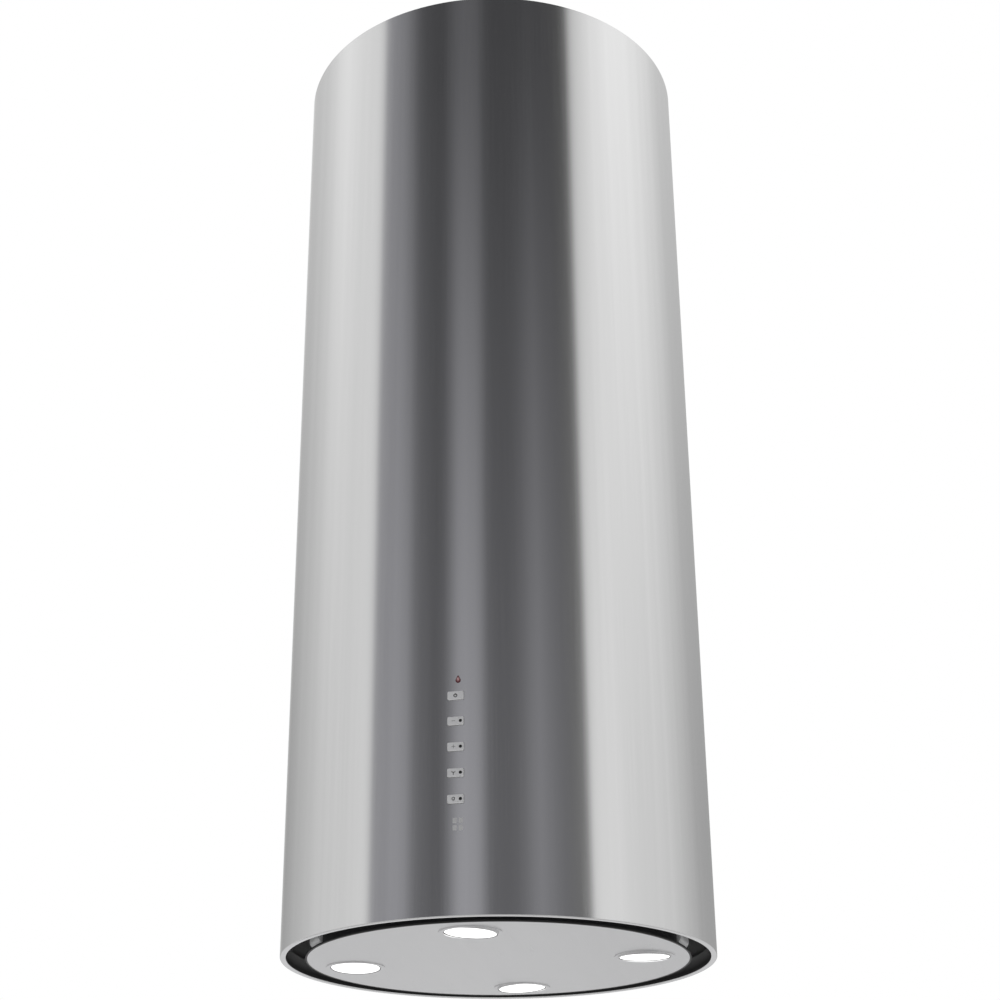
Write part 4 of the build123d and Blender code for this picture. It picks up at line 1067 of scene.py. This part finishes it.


# %% [markdown]
# ## Guides of the lamp panel, white as painted highlights
# Two white nylon pads on the pan's wall, and the hinge behind, keep the closed panel in the middle of its
# slot. Their white is painted highlight: it stands for the glints at the slot's ends. Their faces slant to
# meet the tube's rim as the panel swings up.

# %% Nylon guide pads, white as painted highlights
pan_radius = pan_high.x
PAD_BEARINGS = (-58.5, 81.0)  # degrees round from the front, left pad first, where the painted highlights fall
pad_half_width = 13 * MM
PAD_STEPS = 10
TUCK_FROM, TUCK = 0.8, 1.2 * MM  # over this share of its half width, a pad's face draws in by this much
# (reach from the pan's wall, height over the rim), in mm
PAD_SECTION = [(-0.8, 1.8), (1.6, 1.8), (3.9, 5.2), (4.3, 6.4), (4.3, 11.0), (3.3, 12.4), (-0.8, 12.4)]


def guide_and_highlight_pads():
    """Both pads, each a slanted white block that follows the pan's wall, as painted highlights."""
    shape = bmesh.new()
    for bearing_deg in PAD_BEARINGS:
        sections = []
        for step in range(PAD_STEPS + 1):
            along = 2 * step / PAD_STEPS - 1
            tuck = TUCK * max(0.0, abs(along) - TUCK_FROM) / (1 - TUCK_FROM)
            a = math.radians(bearing_deg) + along * pad_half_width / pan_radius
            section = []
            for reach, h in PAD_SECTION:
                r = pan_radius + reach * MM - (tuck if reach > 0 else 0)
                section.append(shape.verts.new((r * math.sin(a), -r * math.cos(a), rim_z + h * MM)))
            sections.append(section)
        for near, far in zip(sections, sections[1:]):
            bridge(shape, near, far)
        shape.faces.new(sections[0])
        shape.faces.new(sections[-1])
    # white nylon finish: painted highlight at the slot's ends
    from_bmesh("panel_guides", shape, body_of("panel_face"), "terminal_plastic", 30.0, "guide_nylon")


guide_and_highlight_pads()


# %% [markdown]
# ## Things that repeat
# Screws, rivets, sockets, the strands of the grease filter and the clips on the lamp leads repeat by rule, so
# Geometry Nodes place them. Each tree below has named inputs, turns its instances into a real mesh and ends
# in Set Material. Its result is converted to a plain mesh, and the modifier goes away with its object.

# %% Tree helpers
SOCKETS = {"geometry": "NodeSocketGeometry", "length": "NodeSocketFloat", "count": "NodeSocketInt",
           "object": "NodeSocketObject", "finish": "NodeSocketMaterial"}


def geometry_tree(name, inputs):
    """An empty Geometry Nodes tree with a geometry in and out, and the given named inputs."""
    tree = bpy.data.node_groups.new(name, "GeometryNodeTree")
    tree.is_modifier = True
    for socket_name, kind in [("Geometry", "geometry")] + inputs:
        tree.interface.new_socket(name=socket_name, in_out="INPUT", socket_type=SOCKETS[kind])
    tree.interface.new_socket(name="Geometry", in_out="OUTPUT", socket_type=SOCKETS["geometry"])
    return tree, tree.nodes.new("NodeGroupInput"), tree.nodes.new("NodeGroupOutput")


def end_tree(tree, geometry, finish, outs):
    """Realises instances, sets the material and links the result to the output."""
    real = add_node(tree, "GeometryNodeRealizeInstances")
    coat = add_node(tree, "GeometryNodeSetMaterial")
    join(tree, geometry, real.inputs["Geometry"], real.outputs["Geometry"], coat.inputs["Geometry"],
         finish, coat.inputs["Material"], coat.outputs["Geometry"], outs.inputs["Geometry"])


def grown(source, tree, name, **values):
    """Runs a tree on an object and returns the mesh. The object is removed."""
    modifier = source.modifiers.new(tree.name, "NODES")
    modifier.node_group = tree
    for item in tree.interface.items_tree:
        key = item.name.replace(" ", "_").lower()
        if item.in_out == "INPUT" and key in values:
            modifier[item.identifier] = values[key]
    return evaluated_mesh(source, name)


def line_mesh(name, runs):
    """A mesh of bare edges through lists of points."""
    mesh = bpy.data.meshes.new(name)
    verts, edges = [], []
    for run in runs:
        edges += [(len(verts) + i, len(verts) + i + 1) for i in range(len(run) - 1)]
        verts += run
    mesh.from_pydata(verts, edges, [])
    return mesh


def point_mesh(name, sites):
    """A mesh of bare points that carry an axis, from (place, axis) pairs."""
    mesh = bpy.data.meshes.new(name)
    mesh.from_pydata([place for place, axis in sites], [], [])
    stored = mesh.attributes.new("axis", "FLOAT_VECTOR", "POINT")
    for i, (place, axis) in enumerate(sites):
        stored.data[i].vector = axis
    return mesh


# %% Tree that sets one pattern on many points
def set_on_points():
    """Puts a pattern on each point, its Z turned to the point's axis."""
    tree, ins, outs = geometry_tree("set_on_points", [("Pattern", "object"), ("Finish", "finish")])
    source = add_node(tree, "GeometryNodeObjectInfo")
    axis = add_node(tree, "GeometryNodeInputNamedAttribute", {"Name": "axis"}, data_type="FLOAT_VECTOR")
    aim = add_node(tree, "FunctionNodeAlignRotationToVector", axis="Z")
    place = add_node(tree, "GeometryNodeInstanceOnPoints")
    join(tree, ins.outputs["Pattern"], source.inputs["Object"], axis.outputs["Attribute"],
         aim.inputs["Vector"], ins.outputs["Geometry"], place.inputs["Points"],
         source.outputs["Geometry"], place.inputs["Instance"], aim.outputs["Rotation"],
         place.inputs["Rotation"])
    end_tree(tree, place.outputs["Instances"], ins.outputs["Finish"], outs)
    return tree


def lathe(outline, segments):
    """A closed turned shape from (r, z) points that start and end on the axis, in millimetres."""
    shape = bmesh.new()
    rings = []
    for r, z in outline:
        if r == 0:
            rings.append([shape.verts.new((0, 0, z * MM))] * segments)
        else:
            rings.append([shape.verts.new((r * MM * math.cos(a), r * MM * math.sin(a), z * MM))
                          for a in angles(segments)])
    for near, far in zip(rings, rings[1:]):
        bridge(shape, near, far)
    bmesh.ops.recalc_face_normals(shape, faces=shape.faces)
    return mesh_of(shape, "turned_pattern")


SET_TREE = set_on_points()


def set_pattern(name, pattern, sites, body, slot_name):
    """Sets a pattern object on (place, axis) sites and makes one piece of them all."""
    points = new_object(name + "_points", point_mesh(name + "_points", sites))
    mesh = grown(points, SET_TREE, name, pattern=pattern, finish=FINISHES[slot_name])
    return finish_piece(name, mesh, body, slot_name, 40.0)


# %% [markdown]
# ### Screws
# The CAD screws are plain. A real pan-head screw has a cross recess and a thread, so a better one is turned
# here and cut with a cross. It stands for the six CAD screws, three in the tube's top and three under the
# deck's edge, and four more fill the holes of the outlet's flange, which CAD leaves empty.

# %% Pan-head screw
def screw_pattern():
    """One M4 screw: head upwards from z = 0, thread downwards."""
    outline = [(0, 2.2), (2.3, 2.2), (3.2, 1.85), (3.68, 1.2), (3.8, 0.5), (3.8, 0.0), (1.62, 0.0)]
    for turn_number in range(10):
        depth = -0.7 * turn_number
        outline += [(1.62, depth - 0.35), (1.3, depth - 0.7)]
    outline += [(1.0, -8.0), (0, -8.0)]
    head = new_object("screw_pattern", lathe(outline, 20))
    cross = bmesh.new()
    for half_x, half_y, taper_x, taper_y in ((1.9, 0.42, 0.35, 0.7), (0.42, 1.9, 0.7, 0.35)):
        made = bmesh.ops.create_cube(cross, size=1.0)
        bmesh.ops.scale(cross, verts=made["verts"], vec=Vector((2 * half_x, 2 * half_y, 3.0)) * MM)
        for v in made["verts"]:
            if v.co.z < 0:
                v.co.x *= taper_x
                v.co.y *= taper_y
        bmesh.ops.translate(cross, verts=made["verts"], vec=(0, 0, 2.3 * MM))
    cutter = new_object("cross_cutter", mesh_of(cross, "cross_cutter"))
    return new_object("screw_pattern", cut_out(head, cutter, "screw_pattern", use_self=True))


def around(angle_deg, distance, z):
    """Place at an angle round the hood's axis."""
    a = math.radians(angle_deg)
    return Vector((distance * math.cos(a), distance * math.sin(a), z))


# %% Set the screws
screw_low, screw_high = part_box("m4_screws")
head_height, head_radius = 2.2 * MM, 3.8 * MM
deck_face_z = screw_low.z + head_height
tube_screw_z = screw_high.z - head_radius
flange_top_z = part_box("outlet_collar")[0].z + 2.5 * MM
deck_screw_place, flange_screw_place = 179.4 * MM, 84 * MM
UP, DOWN = Vector((0, 0, 1)), Vector((0, 0, -1))
screw_sites = [(around(a, tube_radius, tube_screw_z), around(a, 1, 0)) for a in (25, 90, 155)]
screw_sites += [(around(a, deck_screw_place, deck_face_z), DOWN) for a in (-30, 90, 210)]
screw_sites += [(around(a, flange_screw_place, flange_top_z), UP) for a in (45, 135, 225, 315)]
screw = screw_pattern()
screws = set_pattern("cross_screws", screw, screw_sites, body_of("m4_screws"), "fastener_steel")
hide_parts("m4_screws")
bpy.data.objects.remove(screw)
print("screws", len(screw_sites), "faces", len(screws.data.polygons))

# %% Set the rivets
hinge_low, hinge_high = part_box("hinge_brackets")
posts_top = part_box("magnet_posts")[1].z
rivet_outline = [(0, 1.0), (0.9, 0.9), (1.7, 0.5), (2.1, 0.0), (2.1, -0.5), (0, -0.5)]
rivet = new_object("rivet_pattern", lathe(rivet_outline, 14))
rivet_sites = [(Vector((side * 40 * MM, hinge_low.y + y * MM, hinge_high.z - 2 * MM)), DOWN)
               for side in (-1, 1) for y in (4, 11)]
rivet_sites += [(Vector((side * 60 * MM + x * MM, -135 * MM, posts_top - 1.5 * MM)), DOWN)
                for side in (-1, 1) for x in (-8, 8)]
set_pattern("deck_rivets", rivet, rivet_sites, body_of("deck_plate"), "fastener_steel")
bpy.data.objects.remove(rivet)
print("rivets", len(rivet_sites))


# %% [markdown]
# ### Grease filter
# The filter is a stack of expanded aluminium sheets: a sheet is slit and pulled open, so it becomes a net of
# diamonds. One diamond is a four-sided curve with a thin wire swept round it. A grid repeats it, and three
# such nets lie on each other, each moved by half a link. Points over the latch's pocket are deleted.

# %% Tree for expanded metal
def expanded_metal():
    """Stacked nets of diamonds round the origin."""
    names = ["Width", "Depth", "Link Length", "Link Width", "Strand", "Layer Step", "Pocket Half",
             "Pocket End"]
    tree, ins, outs = geometry_tree("expanded_metal", [(n, "length") for n in names] +
                                    [("Layers", "count"), ("Finish", "finish")])
    value = ins.outputs
    columns = number(tree, "FLOOR", number(tree, "DIVIDE", value["Width"], value["Link Length"]), 0)
    rows = number(tree, "FLOOR", number(tree, "DIVIDE", value["Depth"], value["Link Width"]), 0)
    grid = add_node(tree, "GeometryNodeMeshGrid")
    join(tree, columns, grid.inputs["Vertices X"], rows, grid.inputs["Vertices Y"])
    join(tree, number(tree, "MULTIPLY", number(tree, "SUBTRACT", columns, 1), value["Link Length"]),
         grid.inputs["Size X"])
    join(tree, number(tree, "MULTIPLY", number(tree, "SUBTRACT", rows, 1), value["Link Width"]),
         grid.inputs["Size Y"])
    spot = add_node(tree, "ShaderNodeSeparateXYZ")
    join(tree, add_node(tree, "GeometryNodeInputPosition").outputs[0], spot.inputs[0])
    near = number(tree, "LESS_THAN", number(tree, "ABSOLUTE", spot.outputs["X"], 0), value["Pocket Half"])
    front = number(tree, "LESS_THAN", spot.outputs["Y"], value["Pocket End"])
    drop = add_node(tree, "GeometryNodeDeleteGeometry", domain="POINT")
    join(tree, grid.outputs["Mesh"], drop.inputs["Geometry"], number(tree, "MULTIPLY", near, front),
         drop.inputs["Selection"])
    four = add_node(tree, "GeometryNodeCurvePrimitiveCircle", {"Resolution": 4, "Radius": 1.0})
    size = add_node(tree, "ShaderNodeCombineXYZ", {"Z": 1.0})
    join(tree, number(tree, "MULTIPLY", value["Link Length"], 0.5), size.inputs["X"])
    join(tree, number(tree, "MULTIPLY", value["Link Width"], 0.5), size.inputs["Y"])
    shaped = add_node(tree, "GeometryNodeTransform")
    join(tree, four.outputs["Curve"], shaped.inputs["Geometry"], size.outputs[0], shaped.inputs["Scale"])
    wire = add_node(tree, "GeometryNodeCurvePrimitiveCircle", {"Resolution": 4})
    sweep = add_node(tree, "GeometryNodeCurveToMesh")
    join(tree, number(tree, "MULTIPLY", value["Strand"], 0.5), wire.inputs["Radius"],
         shaped.outputs["Geometry"], sweep.inputs["Curve"], wire.outputs["Curve"],
         sweep.inputs["Profile Curve"])
    net = add_node(tree, "GeometryNodeInstanceOnPoints")
    join(tree, drop.outputs["Geometry"], net.inputs["Points"], sweep.outputs["Mesh"], net.inputs["Instance"])
    step = add_node(tree, "ShaderNodeCombineXYZ")
    join(tree, value["Layer Step"], step.inputs["Z"])
    stack = add_node(tree, "GeometryNodeMeshLine")
    join(tree, value["Layers"], stack.inputs["Count"], step.outputs[0], stack.inputs["Offset"])
    odd = number(tree, "MODULO", add_node(tree, "GeometryNodeInputIndex").outputs[0], 2)
    aside = add_node(tree, "ShaderNodeCombineXYZ")
    join(tree, number(tree, "MULTIPLY", odd, number(tree, "MULTIPLY", value["Link Length"], 0.5)),
         aside.inputs["X"])
    move = add_node(tree, "GeometryNodeSetPosition")
    join(tree, stack.outputs["Mesh"], move.inputs["Geometry"], aside.outputs[0], move.inputs["Offset"])
    layers = add_node(tree, "GeometryNodeInstanceOnPoints")
    join(tree, move.outputs["Geometry"], layers.inputs["Points"], net.outputs["Instances"],
         layers.inputs["Instance"])
    end_tree(tree, layers.outputs["Instances"], ins.outputs["Finish"], outs)
    return tree


# %% Grow the filter's nets
mesh_low, mesh_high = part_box("filter_mesh")
layer_step = 1.2 * MM
net_mesh = grown(new_object("net_seed", bpy.data.meshes.new("net_seed")), expanded_metal(), "filter_nets",
                 width=mesh_high.x - mesh_low.x - 8 * MM, depth=mesh_high.y - mesh_low.y,
                 link_length=14 * MM, link_width=7 * MM, strand=0.9 * MM, layer_step=layer_step,
                 pocket_half=34 * MM, pocket_end=mesh_low.y + 32 * MM, layers=3,
                 finish=FINISHES["mesh_aluminium"])
net_middle = centre("filter_mesh") - Vector((3.5 * MM, 0, layer_step))
net_mesh.transform(Matrix.Translation(net_middle))
filter_nets = finish_piece("filter_nets", net_mesh, body_of("filter_mesh"), "mesh_aluminium", 30.0)
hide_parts("filter_mesh")
print("filter nets", len(net_mesh.polygons), "faces")


# %% [markdown]
# ### Lamp leads
# Behind the lamp panel a black sleeve runs round the pan from the contact block, and a short branch goes from
# it to the ceramic socket of each lamp. Clips hold the sleeve down. A tree sweeps a round profile along the
# route, and walks the same route in longer steps to set the clips.

# %% Tree for a clipped sleeve
def clipped_sleeve():
    """A smooth tube along each run of edges, with a round clip at every step."""
    names = ["Sleeve Radius", "Clip Every", "Clip Wire"]
    tree, ins, outs = geometry_tree("clipped_sleeve", [(n, "length") for n in names] +
                                    [("Finish", "finish")])
    route = add_node(tree, "GeometryNodeMeshToCurve")
    smooth = add_node(tree, "GeometryNodeCurveSplineType", spline_type="CATMULL_ROM")
    even = add_node(tree, "GeometryNodeResampleCurve", {"Length": 3 * MM}, mode="LENGTH")
    profile = add_node(tree, "GeometryNodeCurvePrimitiveCircle", {"Resolution": 12})
    sweep = add_node(tree, "GeometryNodeCurveToMesh", {"Fill Caps": True})
    join(tree, ins.outputs["Geometry"], route.inputs["Mesh"], route.outputs["Curve"],
         smooth.inputs["Curve"], smooth.outputs["Curve"], even.inputs["Curve"],
         even.outputs["Curve"], sweep.inputs["Curve"], ins.outputs["Sleeve Radius"],
         profile.inputs["Radius"], profile.outputs["Curve"], sweep.inputs["Profile Curve"])
    steps = add_node(tree, "GeometryNodeCurveToPoints", mode="LENGTH")
    hoop = add_node(tree, "GeometryNodeCurvePrimitiveCircle", {"Resolution": 14})
    hoop_wire = add_node(tree, "GeometryNodeCurvePrimitiveCircle", {"Resolution": 6})
    clip = add_node(tree, "GeometryNodeCurveToMesh")
    place = add_node(tree, "GeometryNodeInstanceOnPoints")
    both = add_node(tree, "GeometryNodeJoinGeometry")
    join(tree, smooth.outputs["Curve"], steps.inputs["Curve"], ins.outputs["Clip Every"],
         steps.inputs["Length"], ins.outputs["Sleeve Radius"], hoop.inputs["Radius"],
         ins.outputs["Clip Wire"], hoop_wire.inputs["Radius"], hoop.outputs["Curve"],
         clip.inputs["Curve"], hoop_wire.outputs["Curve"], clip.inputs["Profile Curve"],
         steps.outputs["Points"], place.inputs["Points"], steps.outputs["Rotation"],
         place.inputs["Rotation"], clip.outputs["Mesh"], place.inputs["Instance"],
         sweep.outputs["Mesh"], both.inputs["Geometry"], place.outputs["Instances"],
         both.inputs["Geometry"])
    end_tree(tree, both.outputs["Geometry"], ins.outputs["Finish"], outs)
    return tree


# %% Route the leads over the pan
lamp_distance = centre("lamp_lens_right").x
can_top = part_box("lamp_cans")[1].z
block = centre("panel_contact_block")
block_angle = math.degrees(math.atan2(block.y, block.x)) % 360
block_distance = math.hypot(block.x, block.y)
sleeve_radius = 2.2 * MM
route_radius = 92 * MM
route_z = pan_high.z + sleeve_radius + 0.2 * MM


def route_round(first, last):
    """Sleeve run from the contact block in to the route's circle, and round it."""
    steps = max(2, round(abs(last - first) / 12))
    way_in = [around(block_angle, block_distance - d * MM, route_z) for d in (10, 22, 34)]
    swing = 1 if last > first else -1
    return way_in + [around(first + swing * 14 + (last - first - swing * 14) * i / steps, route_radius,
                            route_z) for i in range(steps + 1)]


def branch(angle_deg):
    """Lead from the circle up to the side of one lamp's socket."""
    return [around(angle_deg, route_radius, route_z),
            around(angle_deg, route_radius + 6 * MM, route_z + 0.5 * MM),
            around(angle_deg, lamp_distance - 25 * MM, route_z + 5 * MM),
            around(angle_deg, lamp_distance - 22 * MM, can_top + 2 * MM),
            around(angle_deg, lamp_distance - 15 * MM, can_top + 5 * MM),
            around(angle_deg, lamp_distance - 6 * MM, can_top + 5 * MM)]


sleeve_tree = clipped_sleeve()
runs = [route_round(block_angle, 0), route_round(block_angle, 270)]
sleeve = grown(new_object("sleeve_runs", line_mesh("sleeve_runs", runs)), sleeve_tree, "lamp_sleeve",
               sleeve_radius=sleeve_radius, clip_every=55 * MM, clip_wire=0.7 * MM,
               finish=FINISHES["cable_sleeve"])
finish_piece("lamp_sleeve", sleeve, body_of("panel_pan"), "cable_sleeve", 50.0)
branches = [branch(a) for a in (0, 90, 180, 270)]
leads = grown(new_object("lead_runs", line_mesh("lead_runs", branches)), sleeve_tree, "lamp_leads",
              sleeve_radius=1.4 * MM, clip_every=1.0, clip_wire=0.5 * MM, finish=FINISHES["cable_sleeve"])
finish_piece("lamp_leads", leads, body_of("panel_pan"), "cable_sleeve", 50.0)
print("lead faces", len(sleeve.polygons) + len(leads.polygons))

# %% Ceramic sockets on the cans
socket_outline = [(0, 10.5), (5.6, 10.5), (6.6, 9.6), (6.6, 7.4), (9.2, 6.8), (9.8, 6.0), (9.8, 1.0),
                  (9.2, 0.3), (0, 0.3)]
ceramic = new_object("socket_pattern", lathe(socket_outline, 32))
socket_sites = [(around(a, lamp_distance, can_top), UP) for a in (0, 90, 180, 270)]
set_pattern("lamp_sockets", ceramic, socket_sites, body_of("panel_pan"), "terminal_plastic")
bpy.data.objects.remove(ceramic)


# %% [markdown]
# ### Ribs on the filter's latch
# A finger pulls the latch by its sloping grip. Five ribs stop the finger from slipping. A short line of
# points down the slope carries them.

# %% Set the ribs
latch_low, latch_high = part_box("filter_latch")
grip_foot = Vector((0, latch_high.y - 3.4 * MM, latch_low.z))
slope = Vector((0, -12, 3.8)).normalized()
face_out = Vector((0, -3.8, -12)).normalized()
rib_shape = bmesh.new()
bmesh.ops.create_cube(rib_shape, size=1.0)
bmesh.ops.scale(rib_shape, verts=rib_shape.verts, vec=Vector((25, 0.9, 1.4)) * MM)
bmesh.ops.bevel(rib_shape, geom=list(rib_shape.edges), offset=0.3 * MM, segments=2, affect="EDGES")
rib = new_object("rib_pattern", mesh_of(rib_shape, "rib_pattern"))
rib_sites = [(grip_foot + slope * (1.6 + 2.0 * i) * MM, face_out) for i in range(5)]
set_pattern("latch_ribs", rib, rib_sites, "filter_latch", "latch_plastic")
bpy.data.objects.remove(rib)
print("ribs", len(rib_sites))

# %% [markdown]
# ## Springs
# The springs under the keys and behind the filter's latch come apart into single coils: one at each key's
# height and one at the latch, each cut from its CAD node.

# %% One coil at a time
SPRING_REACH = 5 * MM            # a coil lies within this height of its middle
SAME_POINT = 0.001 * MM


def live_spring(name, node, z):
    """One coil of a CAD node, at a height."""
    shape = bmesh.new()
    shape.from_mesh(frame["nodes"][node].data)
    bmesh.ops.remove_doubles(shape, verts=shape.verts, dist=SAME_POINT)
    others = [v for v in shape.verts if abs(v.co.z - z) > SPRING_REACH]
    bmesh.ops.delete(shape, geom=others, context="VERTS")
    piece = from_bmesh(name, shape, body_of(node), slot_of[node], 50.0)
    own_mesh(piece)
    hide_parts(node)


for key_name in key_names:
    live_spring(key_name + "_spring", "key_springs", centre(key_name).z)
live_spring("latch_spring", "filter_latch_spring", centre("filter_latch_spring").z)


# %% Close the script
low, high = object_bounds()
